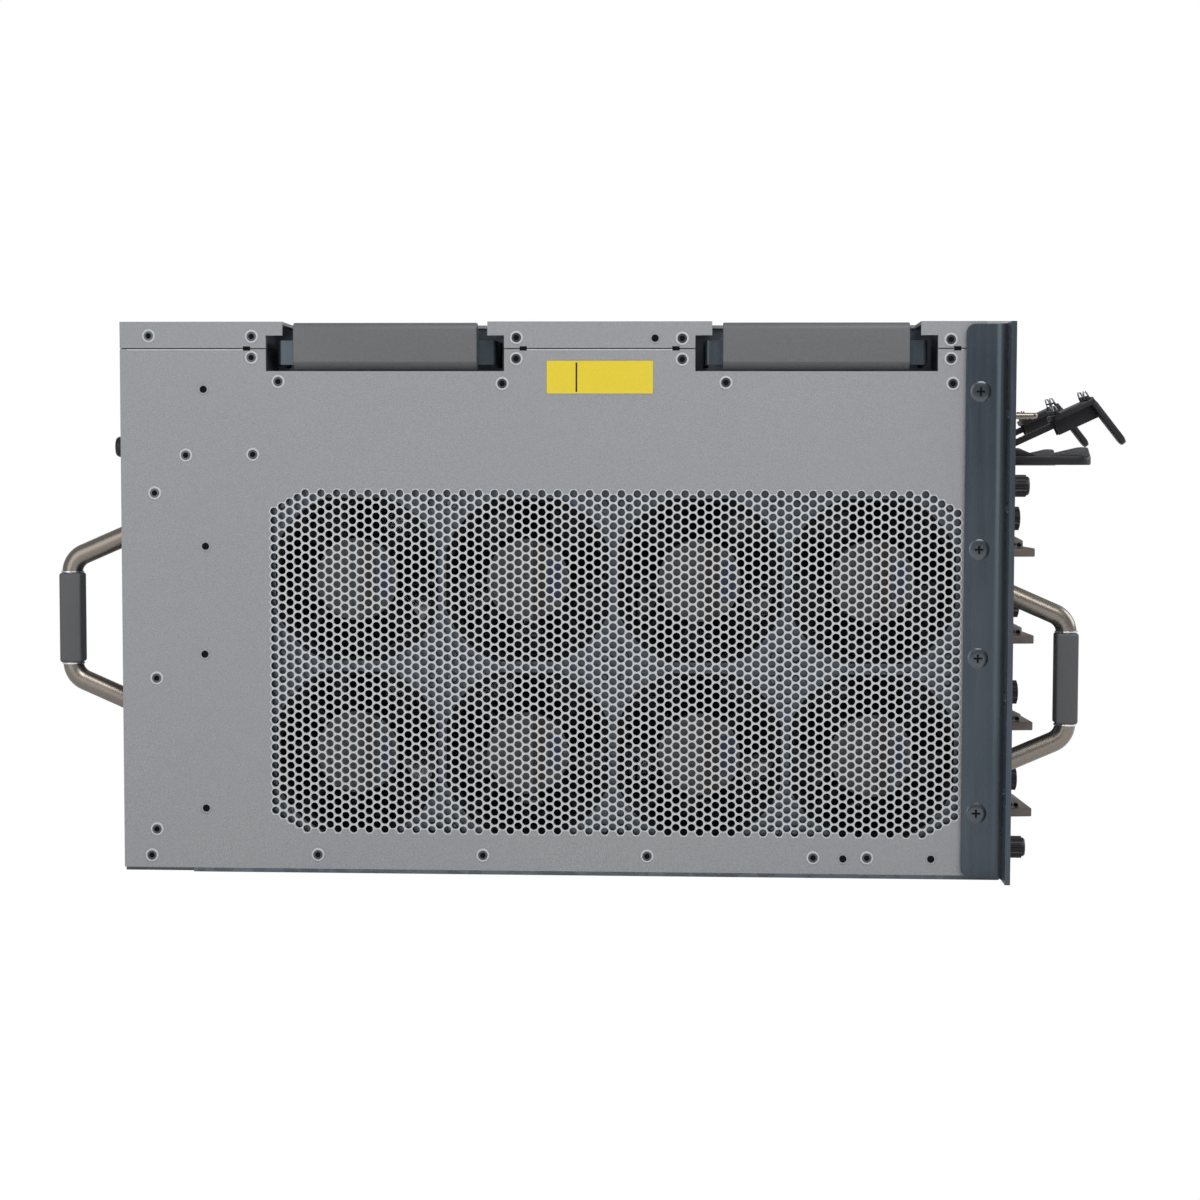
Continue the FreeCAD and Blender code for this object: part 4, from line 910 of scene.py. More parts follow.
    def plate(self, rim: bpy.types.Object, low: Vector, high: Vector) -> bpy.types.Object:
        """Model the plain sheet between the field's ragged edge and the wall's outline.

        Args:
            rim: the field's outer edge, standing in the wall's face.
            low: the wall's lowest corner.
            high: the wall's highest corner.

        Returns:
            The plain sheet, flat.
        """
        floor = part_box("handle_pockets")[0].z + MM
        corners = [(low.y, low.z), (low.y, high.z)]
        for start, stop in self.pockets(0.0):
            corners += [(start, high.z), (start, floor), (stop, floor), (stop, high.z)]
        corners += [(high.y, high.z), (high.y, low.z), corners[0]]
        outline = chain("wall_outline", [Vector((low.x, y, z)) for y, z in corners])
        plate = joined("side_wall_left_plate", [outline, rim])
        with edit(plate):
            bpy.ops.mesh.remove_doubles(threshold=self.weld * MM)
            bpy.ops.mesh.fill(use_beauty=True)
            bpy.ops.mesh.select_all(action="SELECT")
            bpy.ops.mesh.dissolve_degenerate(threshold=self.sliver * MM)
        return plate

    def thicken(self, sheet: bpy.types.Object) -> None:
        """Face a flat sheet to the left, away from the casing, and give it its thickness inwards.

        Args:
            sheet: the sheet.
        """
        tidy_normals(sheet)
        if sum(face.normal.x * face.area for face in sheet.data.polygons) > 0:
            with edit(sheet):
                bpy.ops.mesh.flip_normals()
        modifier(sheet, "SOLIDIFY", thickness=self.thickness * MM, offset=-1.0)

    def tabs(self, low: Vector, high: Vector) -> bpy.types.Object:
        """Model the tabs folded in under the cover, between the pockets and beside them.

        Args:
            low: the wall's lowest corner.
            high: the wall's highest corner.

        Returns:
            The tabs.
        """
        (first, second), (third, fourth) = self.pockets(self.tab_depth)
        sheet, depth = self.thickness * MM, self.tab_depth * MM
        return joined("side_wall_left_tabs", [
            block("wall_tab", Vector((low.x + sheet, start, high.z - sheet)),
                  Vector((low.x + sheet + depth, stop, high.z)))
            for start, stop in ((low.y, first), (second, third), (fourth, high.y - depth))])


@dataclass
class Hardware:
    """Screws, rivets and knobs, each modelled facing up and copied to its places. Sizes are in millimetres."""

    rivet_radius: float = 3.25
    rivet_core: float = 1.35
    knob_radius: float = 5.4
    knob_ribs: int = 18

    def rivet(self) -> bpy.types.Object:
        """Return a hollow rivet's ring, standing a little out of the sheet.

        Returns:
            The ring.
        """
        radius, core = self.rivet_radius * MM, self.rivet_core * MM
        return turned("rivet", [(radius, 0.0), (radius, 0.0002), (radius * 0.9, 0.0005), (core * 1.25, 0.0005),
                                (core, 0.0003), (core, 0.00005)], sides=24)

    def disc(self, radius: float, height: float) -> bpy.types.Object:
        """Return a flat disc."""
        return turned("disc", [(radius * MM, 0.0), (radius * MM, height * MM)], sides=24)

    def hole_rim(self) -> bpy.types.Object:
        """Return the turned-in rim of a small countersunk hole."""
        return turned("hole_rim", [(0.0027, 0.0), (0.0026, 0.00022), (0.0022, 0.00028), (0.00175, 0.0001)], sides=24)

    def cross_screw(self, radius: float, height: float) -> bpy.types.Object:
        """Model a cross-recessed screw head.

        Args:
            radius: the head's radius.
            height: how far it stands out.

        Returns:
            The screw head.
        """
        rim, top = radius * MM, height * MM
        head = turned("screw_head", [(rim, -0.0002), (rim, top * 0.3), (rim * 0.86, top * 0.85), (rim * 0.5, top)],
                      sides=28)
        arm, half, deep = rim * 0.45, rim * 0.12, min(top, 0.0006) * 0.9
        for x, y in ((arm, half), (half, arm)):
            cut(head, block("screw_slot", Vector((-x, -y, top - deep)), Vector((x, y, top + MM))))
        return head

    def cross_recess_shade(self, radius: float, height: float) -> bpy.types.Object:
        """Model a dark cross painted as the shade on the floor of a cross-recessed screw's recess.

        Args:
            radius: the head's radius.
            height: how far the head stands out.

        Returns:
            The cross of painted shade.
        """
        arm, half, level = radius * 0.4, radius * 0.085, height - min(height, 0.6) * 0.9
        return joined("screw_floor", [block("cross_bar", mm(-x, -y, level - 0.05), mm(x, y, level + 0.05 + lift))
                                      for x, y, lift in ((arm, half, 0.0), (half, arm, 0.01))])

    def thumb_knob(self, over: bool) -> bpy.types.Object:
        """Model a captive screw's ribbed barrel with its collar and its rounded end.

        Args:
            over: True makes it wide and long enough to cover a plain knob under it.

        Returns:
            The knob, standing up.
        """
        grow, start, top, rise = (0.55, 2.8, 13.6, 0.3) if over else (0.0, 3.0, 11.8, 1.0)
        points = []
        for rib in range(self.knob_ribs):
            for share, depth in ((0.0, 0.5), (0.25, 0.0), (0.6, 0.0), (0.85, 0.5)):
                angle = (rib + share) * 2 * math.pi / self.knob_ribs
                radius = self.knob_radius + grow - depth
                points.append(mm(radius * math.cos(angle), radius * math.sin(angle), start))
        barrel = prism("thumb_knob", points, mm(0, 0, top + 0.1 - start))
        collar = turned("knob_collar", [(0.0038, 0.0), (0.0038, 0.0024), (0.0042, 0.003)], sides=24)
        end = [((radius + grow) * MM, (top + height * rise) * MM)
               for radius, height in ((4.6, 0.0), (4.6, 1.0), (4.0, 1.7), (2.6, 1.7), (2.4, 0.7))]
        return joined("thumb_knob", [barrel, collar, turned("knob_end", end, sides=28)])

    def knob_slot(self, over: bool) -> bpy.types.Object:
        """Return the bright slotted screw seen in the end of a knob, further out in a knob that covers another.

        Args:
            over: True for a knob that covers its construction.

        Returns:
            The screw.
        """
        head = turned("knob_screw", [(0.0023, 0.0118), (0.0023, 0.0128), (0.0021, 0.0130)], sides=20)
        cut(head, block("slot", mm(-3, -0.35, 12.4), mm(3, 0.35, 14)))
        return settle(head, mm(0, 0, 1.15 if over else 0.0))

    def knobs(self, name: str, places: Sequence[Vector], body: str, node: str = "") -> None:
        """Place ribbed knobs that face the front.

        Args:
            name: the joined piece's name.
            places: each knob's foot, on the face that it stands on.
            body: the body that carries them.
            node: the construction node that they stand for; with none, they fit over plain knobs.
        """
        screws = scattered(f"{name}_screws", self.knob_slot(not node), places, Facing.FRONT)
        dress(screws, STEEL, body)
        dress(scattered(name, self.thumb_knob(not node), places, Facing.FRONT), BLACK, body, node)


RIVETS = (
    (198.4, 259.1), (148.6, 258.8), (148.7, 248.8), (135.8, 237.3), (180.8, 202.0), (148.3, 202.4), (196.1, 183.8),
    (195.9, 94.3), (196.4, 20.7), (199.0, 7.9), (117.7, 8.9), (37.5, 9.4), (-41.8, 9.8), (-121.4, 9.8), (-147.1, 10.0),
    (28.1, 236.4), (21.3, 258.2), (21.4, 248.2), (-57.7, 257.8), (-57.7, 247.9), (-78.5, 236.9), (-184.5, 257.2),
    (-184.6, 248.2), (-185.6, 236.5),
)
SMALL_SCREWS = ((172.1, 233.6), (171.6, 158.2), (172.3, 106.0), (172.2, 31.1), (-135.7, 9.4), (-177.6, 9.7),
                (-44.8, 257.9))


@dataclass
class SideDetails:
    """Rivets, small screws, seams and the plain caution plate on the casing's sides. Sizes are in millimetres."""

    hardware: Hardware
    seam: float = 252.1
    fold_highlight_spans: tuple[Pair, ...] = ((-190.5, -187.5), (-54.7, 18.0), (151.0, 209.0))
    relief_places: tuple[float, ...] = (18.0, 151.0, -187.7, -54.7)
    plate_front: float = -43.9
    plate_rear: float = 6.8
    plate_low: float = 231.6
    plate_high: float = 247.2
    plate_divide: float = 0.72

    @property
    def face(self) -> float:
        """Return the X of the left side's outer face."""
        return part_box("side_wall_left")[0].x / MM

    def build(self) -> None:
        """Build the details of both sides, and the caution plate on the left one."""
        made = self.hardware
        kinds = (
            # The rivet rings take the lighter powder grey, painted highlight.
            ("rivets", made.rivet(), RIVETS, POWDER_HIGHLIGHT),
            # Dark discs on the rivets' cores and in the small holes' pits: painted shade.
            ("rivet_cores", made.disc(made.rivet_core, 0.62), RIVETS, RECESS_SHADE),
            ("rivet_collars", made.disc(2.3, 0.56), RIVETS, ZINC_SCREW),
            ("holes", made.hole_rim(), SMALL_SCREWS, POWDER),
            ("hole_pits", made.disc(1.75, 0.12), SMALL_SCREWS, RECESS_SHADE),
        )
        for kind, master, spots, finish in kinds:
            places = [mm(self.face, y, z) for y, z in spots]
            dress_pair(scattered(f"side_{kind}_left", master, places, Facing.LEFT), finish)
        # Thin dark blocks in the bend relief notches: painted shade.
        dress_pair(self.relief_shades(), RECESS_SHADE)
        # Thin strips painted as the highlight on the folded edge under the seam.
        dress_pair(self.fold_highlight(), POWDER_HIGHLIGHT)
        self.caution_plate()

    def relief_shades(self) -> bpy.types.Object:
        """Return thin dark blocks painted as the shade in the bend relief notches of the seam between the skirt and the
        wall, beside each pocket.
        """
        lows = [mm(self.face - 0.12, place - 1.7, self.seam) for place in self.relief_places]
        return joined("side_reliefs_left", [block("relief", low, low + mm(0.2, 3.4, 2.0)) for low in lows])

    def fold_highlight(self) -> bpy.types.Object:
        """Return thin strips in the lighter powder grey, painted as the highlight on the wall's folded edge under the
        seam, between the pockets and beside them.

        Returns:
            The painted highlight strips.
        """
        low, high = self.seam + 0.15, self.seam + 0.65
        outer, inner = self.face - 0.08, self.face + 0.1
        return joined("side_fold_left", [block("fold", mm(outer, start, low), mm(inner, stop, high))
                                         for start, stop in self.fold_highlight_spans])

    def caution_plate(self) -> None:
        """Build the plain yellow plate, split by one thin divider, on the left side."""
        low = mm(self.face - 0.3, self.plate_front, self.plate_low)
        high = mm(self.face, self.plate_rear, self.plate_high)
        dress(block("caution_plate", low, high, 0.1 * MM, 1), YELLOW, "chassis")
        divide = self.plate_front + self.plate_divide * (self.plate_rear - self.plate_front)
        line = block("caution_plate_divider", mm(self.face - 0.35, divide - 0.4, self.plate_low + 0.8),
                     mm(self.face - 0.2, divide + 0.4, self.plate_high - 0.8))
        dress(line, BLACK, "chassis")


@dataclass
class RackBrackets:
    """The folded brackets with their slots and the screws that hold them. Sizes are in millimetres."""

    hardware: Hardware
    sheet: float = 2.5
    bend: float = 5.0
    tail_rounding: float = 4.0
    slot_length: float = 10.0
    slot_width: float = 6.8
    slot_inset: float = 8.75
    slot_heights: tuple[float, ...] = (44.05, 88.5, 177.4, 221.85)
    screw_heights: tuple[float, ...] = (232.6, 158.1, 106.4, 32.3)
    screw_back: float = 14.0
    screw_size: Pair = (4.9, 0.5)

    def build(self) -> None:
        """Build the left bracket and mirror it."""
        low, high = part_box("rack_bracket_left")
        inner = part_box("side_wall_left")[0].x
        half = self.sheet / 2 * MM
        path = [Vector((low.x, low.y + half, low.z)), Vector((inner - half, low.y + half, low.z)),
                Vector((inner - half, high.y, low.z))]
        bracket = folded("rack_bracket_left_folded", rounded(path, (self.bend + self.sheet / 2) * MM),
                         Vector((0, 0, high.z - low.z)), self.sheet * MM)
        for height in self.slot_heights:
            cut(bracket, self.slot(Vector((low.x + self.slot_inset * MM, low.y, height * MM))))
        with edit(bracket):
            select(bracket, "EDGE", lambda edge: all(vertex.co.y > high.y - 1e-5 for vertex in edge.verts)
                   and abs(edge.verts[0].co.x - edge.verts[1].co.x) > MM)
            bpy.ops.mesh.bevel(offset=self.tail_rounding * MM, segments=6, affect="EDGES")
        dress_pair(bracket, DARK_ZINC, node="rack_bracket_left")
        places = [Vector((inner - self.sheet * MM, low.y + self.screw_back * MM, height * MM))
                  for height in self.screw_heights]
        # The screws' recesses get a dark cross on their floor: painted shade.
        for kind, model, finish in (("screws", self.hardware.cross_screw, ZINC_SCREW),
                                    ("recesses", self.hardware.cross_recess_shade, RECESS_SHADE)):
            dress_pair(scattered(f"bracket_{kind}_left", model(*self.screw_size), places, Facing.LEFT), finish)

    def slot(self, place: Vector) -> bpy.types.Object:
        """Return the cutter of one rack slot, lying along X.

        Args:
            place: the slot's middle.

        Returns:
            The cutter.
        """
        half, reach = self.slot_width / 2, (self.slot_length - self.slot_width) / 2
        points = []
        for way in (1, -1):
            points += arc(place + mm(way * reach, -2, 0), mm(way * half, 0, 0), mm(0, 0, way * half), (-90, 90), 12)
        return prism("slot_cutter", points, mm(0, 10, 0))


@dataclass
class LiftHandles:
    """Pull-out lifting handles: a moulded grip on a folded zinc strap. Sizes are in millimetres."""

    strap_sheet: float = 1.5
    strap_bend: float = 1.5
    strap_reach: float = 53.0
    lip: float = 4.0
    rounding: float = 3.5

    def build(self) -> None:
        """Build the left pair and mirror it to the right."""
        for place in ("rear", "front"):
            for kind, model, finish in (("lift_grip", self.grip, GRIP), ("lift_strap", self.strap, DARK_ZINC)):
                node = f"{kind}_left_{place}"
                dress_pair(model(node), finish, f"lift_handle_left_{place}", node)

    def grip(self, node: str) -> bpy.types.Object:
        """Return a grip for its node: round top edge, sloped lower lip and soft ends.

        Args:
            node: the construction node.

        Returns:
            The grip.
        """
        low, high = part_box(node)
        corner = [Vector((high.x, low.y, high.z)), Vector((low.x, low.y, high.z)),
                  Vector((low.x, low.y, low.z + self.lip * MM)), Vector(((low.x + high.x) / 2, low.y, low.z)),
                  Vector((high.x, low.y, low.z))]
        top = rounded(corner[:3], self.rounding * MM, 8)
        lower = rounded(corner[2:], 0.8 * MM, 4)
        points = top[:-1] + rounded([top[-2], corner[2], corner[3]], 1.2 * MM, 4)[1:-1] + lower[1:]
        return prism(f"{node}_made", points, Vector((0, high.y - low.y, 0)), 0.6 * MM, 3)

    def strap(self, node: str) -> bpy.types.Object:
        """Return a strap for its node: a U of sheet whose legs end in hooks behind the pocket.

        Args:
            node: the construction node.

        Returns:
            The strap.
        """
        low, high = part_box(node)
        half = self.strap_sheet / 2 * MM
        outer, inner = low.x + half, high.x - half
        reach, hook = self.strap_reach * MM - half, (high.y - low.y) / 2
        corners = ((inner, -hook), (inner, -reach), (outer, -reach), (outer, reach), (inner, reach), (inner, hook))
        path = [Vector((x, (low.y + high.y) / 2 + y, low.z)) for x, y in corners]
        return folded(f"{node}_made", rounded(path, self.strap_bend * MM, 4), Vector((0, 0, high.z - low.z)),
                      self.strap_sheet * MM)


@dataclass
class FanTray:
    """The fan tray: windowed plate, rotors, hub discs, screws, bar handles and captive knobs. Sizes in millimetres."""

    hardware: Hardware
    plate_face: float = -215.5
    sheet: float = 1.5
    flange: float = 40.0
    fan_rear: float = 98.9
    fan_pitch: float = 82.7
    fan_lower: float = 58.5
    fan_rise: float = 83.9
    window: float = 42.0
    window_flat: float = 39.35
    screw_reach: float = 36.5
    hub: float = 19.0
    blades: int = 5
    handle_reach: float = 32.5
    handle_foot: float = 43.26
    handle_corner: float = 28.8
    handle_sink: float = 0.6
    handle_bend: float = 10.0
    handle_bar: float = 5.0
    handle_heights: Pair = (94.5, 121.7)
    sleeve: Point = (5.5, 5.5, 22.2)
    knob_heights: Pair = (188.1, 11.2)

    def build(self) -> None:
        """Build the tray's pieces."""
        self.frame()
        self.hub_discs()
        ways = [(run, rise) for run in (-self.screw_reach, self.screw_reach)
                for rise in (-self.screw_reach, self.screw_reach)]
        places = [fan + mm(self.plate_face, run, rise) for fan in self.fans().values() for run, rise in ways]
        dress(scattered("fan_screws", self.hardware.cross_screw(2.6, 0.9), places, Facing.LEFT), ZINC_SCREW, "fan_tray")
        self.rotors()
        self.handles()
        across, face = middle("tray_thumbscrews").x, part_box("fan_tray_frame")[0].y
        knobs = [Vector((across, face, height * MM)) for height in self.knob_heights]
        self.hardware.knobs("tray_knobs", knobs, "fan_tray", "tray_thumbscrews")

    def fans(self) -> dict[str, Vector]:
        """Return each rotor's node, columns counted from the rear, and its fan's middle in Y and Z.

        Returns:
            Each fan's middle, by its rotor's node.
        """
        return {f"fan_rotor_{word}_{column}": mm(0, self.fan_rear - (column - 1) * self.fan_pitch, height)
                for column in COLUMNS
                for word, height in (("lower", self.fan_lower), ("upper", self.fan_lower + self.fan_rise))}

    def frame(self) -> None:
        """Build the windowed plate with its two flanges and its two end faces."""
        low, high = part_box("fan_tray_frame")
        sheet, face = self.sheet * MM, self.plate_face * MM
        near, far, back = low.y + sheet, high.y - sheet, face + sheet
        plate = block("tray_plate", Vector((face, near, low.z)), Vector((back, far, high.z)))
        for place in self.fans().values():
            cut(plate, self.window_cutter(place))
        pieces = [plate]
        pieces += [block("tray_flange", Vector((back, near, level)),
                         Vector((back + self.flange * MM, far, level + sheet))) for level in (low.z, high.z - sheet)]
        pieces += [block("tray_end", Vector((low.x, start, low.z)), Vector((high.x, start + sheet, high.z)), 0.4 * MM)
                   for start in (low.y, far)]
        # The tray behind the punched wall takes the darkened galvanised colour, painted shade.
        dress(joined("fan_tray_made", pieces), SHADED_GALVANISED, "fan_tray", "fan_tray_frame")

    def window_cutter(self, place: Vector) -> bpy.types.Object:
        """Return the cutter of one window: a round whose four quarters are clipped flat.

        Args:
            place: the window's middle.

        Returns:
            The cutter.
        """
        clip = math.degrees(math.acos(self.window_flat / self.window))
        points = []
        for quarter in (0, 90, 180, 270):
            points += arc(place + mm(self.plate_face - 2, 0, 0), mm(0, self.window, 0), mm(0, 0, self.window),
                          (quarter + clip, quarter + 90 - clip), 12)
        return prism("window_cutter", points, mm(6, 0, 0))

    def hub_discs(self) -> None:
        """Build the plain discs on the fans' hubs, each with a brown band and a blue patch."""
        places = [fan + mm(self.plate_face + self.sheet, 0, 0) for fan in self.fans().values()]
        disc = turned("hub_disc", [(0.0198, 0.0), (0.0198, 0.0003)], sides=48)
        # The hub discs' darkened silver is painted shade.
        dress(scattered("hub_discs", disc, places, Facing.LEFT), SHADED_HUB_SILVER, "fan_tray")
        patches = (("hub_bands", BROWN_LABEL, (-9.0, -2.5), 20.0, 0.42),
                   ("hub_patches", BLUE_LABEL, (-16.5, -10.0), 9.0, 0.38))
        for name, finish, across, half, height in patches:
            patch = block(name, mm(-height, across[0], -half), mm(0, across[1], half))
            cut(patch, turned("hub_edge", [(0.0195, -0.001), (0.0195, 0.001)], None, Facing.RIGHT, 48), "INTERSECT")
            dress(scattered(name, patch, places), finish, "fan_tray")

    def rotors(self) -> None:
        """Build one rotor and copy it to the eight fans."""
        hub = turned("rotor_hub", [(self.hub * MM, 0.0105), (self.hub * MM, 0.0295), (0.018, 0.0305)], None,
                     Facing.RIGHT, 48)
        pieces = [hub, turned("rotor_shaft", [(0.002, 0.0038), (0.002, 0.0105)], None, Facing.RIGHT, 24)]
        path = [mm(19.7 + 7.5 * share + 3 * (1 - share * share), 9.5 * share, self.hub - 1.6)
                for share in (-1, -0.66, -0.33, 0, 0.33, 0.66, 1)]
        for blade in range(self.blades):
            sheet = folded("rotor_blade", path, mm(0, 0, 17.6), 0.0016)
            pieces.append(settle(sheet, turn=(2 * math.pi * blade / self.blades, 0.0, 0.0)))
        rotor = joined("rotor", pieces)
        # The rotors take the darkened fan plastic, painted shade.
        for node, fan in self.fans().items():
            dress(copied(rotor, f"{node}_made", fan + mm(self.plate_face + self.sheet, 0, 0)), SHADED_FAN, node, node)
        bpy.data.objects.remove(rotor)

    def handles(self) -> None:
        """Build the two bar handles with their sleeves and the bright collars at the sleeves' ends."""
        low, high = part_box("fan_tray_frame")
        bars, sleeves, collars = [], [], []
        for face, out, height in ((low.y, -1, self.handle_heights[0]), (high.y, 1, self.handle_heights[1])):
            centre = Vector((middle("handle_sleeves").x, face, height * MM))
            sink, reach = -out * self.handle_sink, out * self.handle_reach
            corners = [centre + mm(0, *place) for place in
                       ((sink, self.handle_foot), (reach, self.handle_corner), (reach, -self.handle_corner),
                        (sink, -self.handle_foot))]
            bars.append(tube("bar", rounded(corners, self.handle_bend * MM, 10), self.handle_bar * MM, 24))
            grip = centre + mm(0, reach, 0)
            sleeves.append(block("sleeve", grip - mm(*self.sleeve), grip + mm(*self.sleeve), 1.3 * MM, 4))
            for end in (-1, 1):
                place = grip + mm(0, 0, end * (self.sleeve[2] + 0.5) - 0.5)
                collars.append(turned("collar", [(0.0053, 0.0), (0.0056, 0.0003), (0.0056, 0.0008), (0.0053, 0.001)],
                                      place))
        dress(joined("tray_handles_made", bars), NICKEL, "fan_tray", "tray_handles", 45)
        dress(joined("handle_sleeves_made", sleeves), SLEEVE, "fan_tray", "handle_sleeves")
        dress(joined("sleeve_collars", collars), BRIGHT, "fan_tray")


@dataclass
class Cards:
    """Dressing of the plug-in cards: ports, lamps, seals, ejector levers and knobs. Sizes are in millimetres."""

    hardware: Hardware
    left: float = -160.5
    right: float = 217.2
    bank_start: float = -91.0
    bank_pitch: float = 62.0
    bank_width: float = 56.0
    bank_lift: float = 9.0
    bank_height: float = 26.0
    lamp_lift: float = 37.4
    seal_inset: float = 16.0
    seal_lift: float = 41.4
    lever_inset: float = 8.5
    lever_stand: float = 7.0
    lever_lift: float = 11.4
    knob_inset: float = 6.5
    knob_lift: float = 30.6

    def build(self) -> None:
        """Dress every card."""
        port = self.port()
        lamp = block("lamp", mm(-1.0, -0.4, -0.5), mm(1.0, 0, 0.5), 0.15 * MM)
        for slot, body in CARDS.items():
            level = card_level(slot)
            supervisor = body.startswith("supervisor")
            columns = [self.bank_start + bank * self.bank_pitch + self.bank_width / 8 * (2 * column + 1)
                       for bank in range(2 if supervisor else 4) for column in range(4)]
            heights = [level + self.bank_lift + self.bank_height / 4 * (2 * row + 1) for row in (0, 1)]
            ports = [mm(x, FRONT_FACE + 0.4, z) for x in columns for z in heights]
            dress(scattered(f"ports_{slot}", port, ports, keep=True), PORT_METAL, body)
            lamps = [mm(x, FRONT_FACE, level + self.lamp_lift) for x in columns]
            dress(scattered(f"lamps_{slot}", lamp, lamps, keep=True), GREEN_LAMP, body)
            if supervisor:
                self.module(slot, body)
            low = mm(self.left + self.seal_inset, FRONT_FACE - 0.5, level + self.seal_lift)
            high = mm(self.right - self.seal_inset, FRONT_FACE, level + self.seal_lift + 1.1)
            dress(block(f"card_seal_{slot}", low, high, 0.2 * MM), STEEL, body)
            knobs = [mm(x, FRONT_FACE, level + self.knob_lift)
                     for x in (self.left + self.knob_inset, self.right - self.knob_inset)]
            self.hardware.knobs(f"card_knobs_{slot}", knobs, body)
        for master in (port, lamp):
            bpy.data.objects.remove(master)
        self.levers()

    def port(self) -> bpy.types.Object:
        """Return one port: a metal cage whose front is inset and pushed in, with a shelf for the contacts.

        Returns:
            The port.
        """
        cage = block("port", mm(-6.9, 0, -6.4), mm(6.9, 11, 6.4))
        with edit(cage):
            select(cage, "FACE", lambda face: face.normal.y < -0.9)
            bpy.ops.mesh.inset(thickness=0.8 * MM)
            bpy.ops.mesh.extrude_region_move(TRANSFORM_OT_translate={"value": (0, 9.5 * MM, 0)})
        return joined("port", [cage, block("port_shelf", mm(-4.2, 4, 2.2), mm(4.2, 10, 4.2), 0.2 * MM)])

    def module(self, slot: int, body: str) -> None:
        """Build a supervisor card's plain module cover, two service ports and two slots for memory sticks, with dark
        blocks painted as the shade in their openings.

        Args:
            slot: the card's slot.
            body: the body that carries them.
        """
        level = card_level(slot)
        cover = block(f"module_cover_{slot}", mm(108, FRONT_FACE - 1, level + 7), mm(196, FRONT_FACE, level + 36),
                      0.4 * MM)
        dress(cover, HEADER, body)
        corners = [mm(x, FRONT_FACE - 1, level + z) for x in (112, 192) for z in (11, 32)]
        screws = scattered(f"module_screws_{slot}", self.hardware.cross_screw(2.2, 0.6), corners, Facing.FRONT)
        dress(screws, STEEL, body)
        # The dark blocks inside the bezels are painted shade in the ports' openings.
        frames, port_shades = [], []
        for x, z, wide, high in ((48, 14, 13.6, 12), (66, 14, 13.6, 12), (84, 12, 13.2, 5.6), (84, 26, 13.2, 5.6)):
            low = mm(x - wide / 2, FRONT_FACE - 0.8, level + z)
            frames.append(block("bezel", low, low + mm(wide, 0.8, high), 0.3 * MM))
            port_shades.append(block("bezel_hole", low + mm(1.0, -0.15, 1.0), low + mm(wide - 1.0, 0.4, high - 1.0)))
        dress(joined(f"service_ports_{slot}", frames), PORT_METAL, body)
        dress(joined(f"service_holes_{slot}", port_shades), RECESS_SHADE, body)

    def levers(self) -> None:
        """Build one ejector lever in two tiers, with a darker lower tier and dark hole discs as painted shade, mirror
        it, and copy the pair to each card.
        """
        root, toe = (5.5, 2.75), [(-5.5, -2.75), (0, -5.5), (5.5, -2.75)]
        lower = self.tier([root, (3.9, 15), (-48, 12.25), (-48, 5.5), *toe], 0.0, 4.3, 0.0)
        upper = self.tier([root, (3.9, 9), (-33.6, 5.5), *toe], 4.3, 11.5, 3.4)
        # Dark discs where the lever's holes are: painted shade.
        holes = joined("lever_holes", [turned("lever_hole", [(0.0011, 0.0), (0.0011, 0.0006)], mm(-5.6, y, z),
                                              Facing.RIGHT, 16) for y, z in ((-4.0, 6.2), (-6.9, 6.0))])
        # The lower tier's darker cast metal is painted shade.
        for kind, left, finish in (("lower", lower, CAST_LIP_SHADE), ("upper", upper, CAST), ("holes", holes, RECESS_SHADE)):
            right = copied(left, f"lever_{kind}_mirrored", mirror=True)
            for word, shape, across in (("left", left, self.left + self.lever_inset),
                                        ("right", right, self.right - self.lever_inset)):
                for slot in CARDS:
                    node = f"card_lever_{slot}_{word}"
                    pin = mm(across, FRONT_FACE - self.lever_stand, card_level(slot) + self.lever_lift)
                    dress(copied(shape, f"{node}_{kind}", pin), finish, node, node if kind == "lower" else "")
                bpy.data.objects.remove(shape)

    def tier(self, outline: Sequence[Pair], low: float, high: float, slant: float) -> bpy.types.Object:
        """Model one tier of the left lever, with the pin's hole through it.

        Args:
            outline: the tier's corners, to the left and to the front of its pin.
            low: its lower face.
            high: its upper face.
            slant: how far the front of its upper face drops.

        Returns:
            The tier, about the pin.
        """
        tier = prism("lever_tier", [mm(-left, -front, low) for left, front in outline], mm(0, 0, high - low))
        if slant:
            with edit(tier):
                select(tier, "VERT", lambda vertex: vertex.co.z > (high - 0.1) * MM and vertex.co.y < -4 * MM)
                bpy.ops.transform.translate(value=(0, 0, -slant * MM))
        cut(tier, turned("pin_hole", [(0.00155, (low - 1) * MM), (0.00155, (high + 1) * MM)], sides=24))
        modifier(tier, "BEVEL", width=0.5 * MM, segments=2, limit_method="ANGLE", angle_limit=math.radians(40))
        return tier


@dataclass
class BoardParts:
    """Parts on the cards' boards, seen through the fans: finned coolers and power bricks. Sizes in millimetres."""

    board_top: float = 9.6
    fins: int = 13
    fin_pitch: float = 7.0
    fin_height: float = 27.0
    cooler_half: float = 78.0

    def build(self) -> None:
        """Build one cooler and one brick, and copy them to every card."""
        half, long = self.fins * self.fin_pitch / 2, self.cooler_half
        pieces = [block("cooler_base", mm(-half, -long, 0), mm(half, long, 4), 0.4 * MM)]
        for fin in range(self.fins):
            x = (fin + 0.5) * self.fin_pitch - half
            pieces.append(block("cooler_fin", mm(x - 0.6, -long, 3.5), mm(x + 0.6, long, self.fin_height), 0.2 * MM))
        kinds = (
            ("coolers", joined("cooler", pieces), (-82, 28, 138), (-112, 45), STEEL),
            ("bricks", block("brick", mm(-15, -22, 0), mm(15, 22, 12), 1.2 * MM, 3), (-27, 83),
             (-150, -95, -40, 15, 70), TEXTURED),
        )
        for slot, body in CARDS.items():
            for kind, master, across, along, finish in kinds:
                places = [mm(x, y, card_level(slot) + self.board_top) for x in across for y in along]
                dress(scattered(f"{kind}_{slot}", master, places, keep=True), finish, body)
        for _kind, master, *_rest in kinds:
            bpy.data.objects.remove(master)


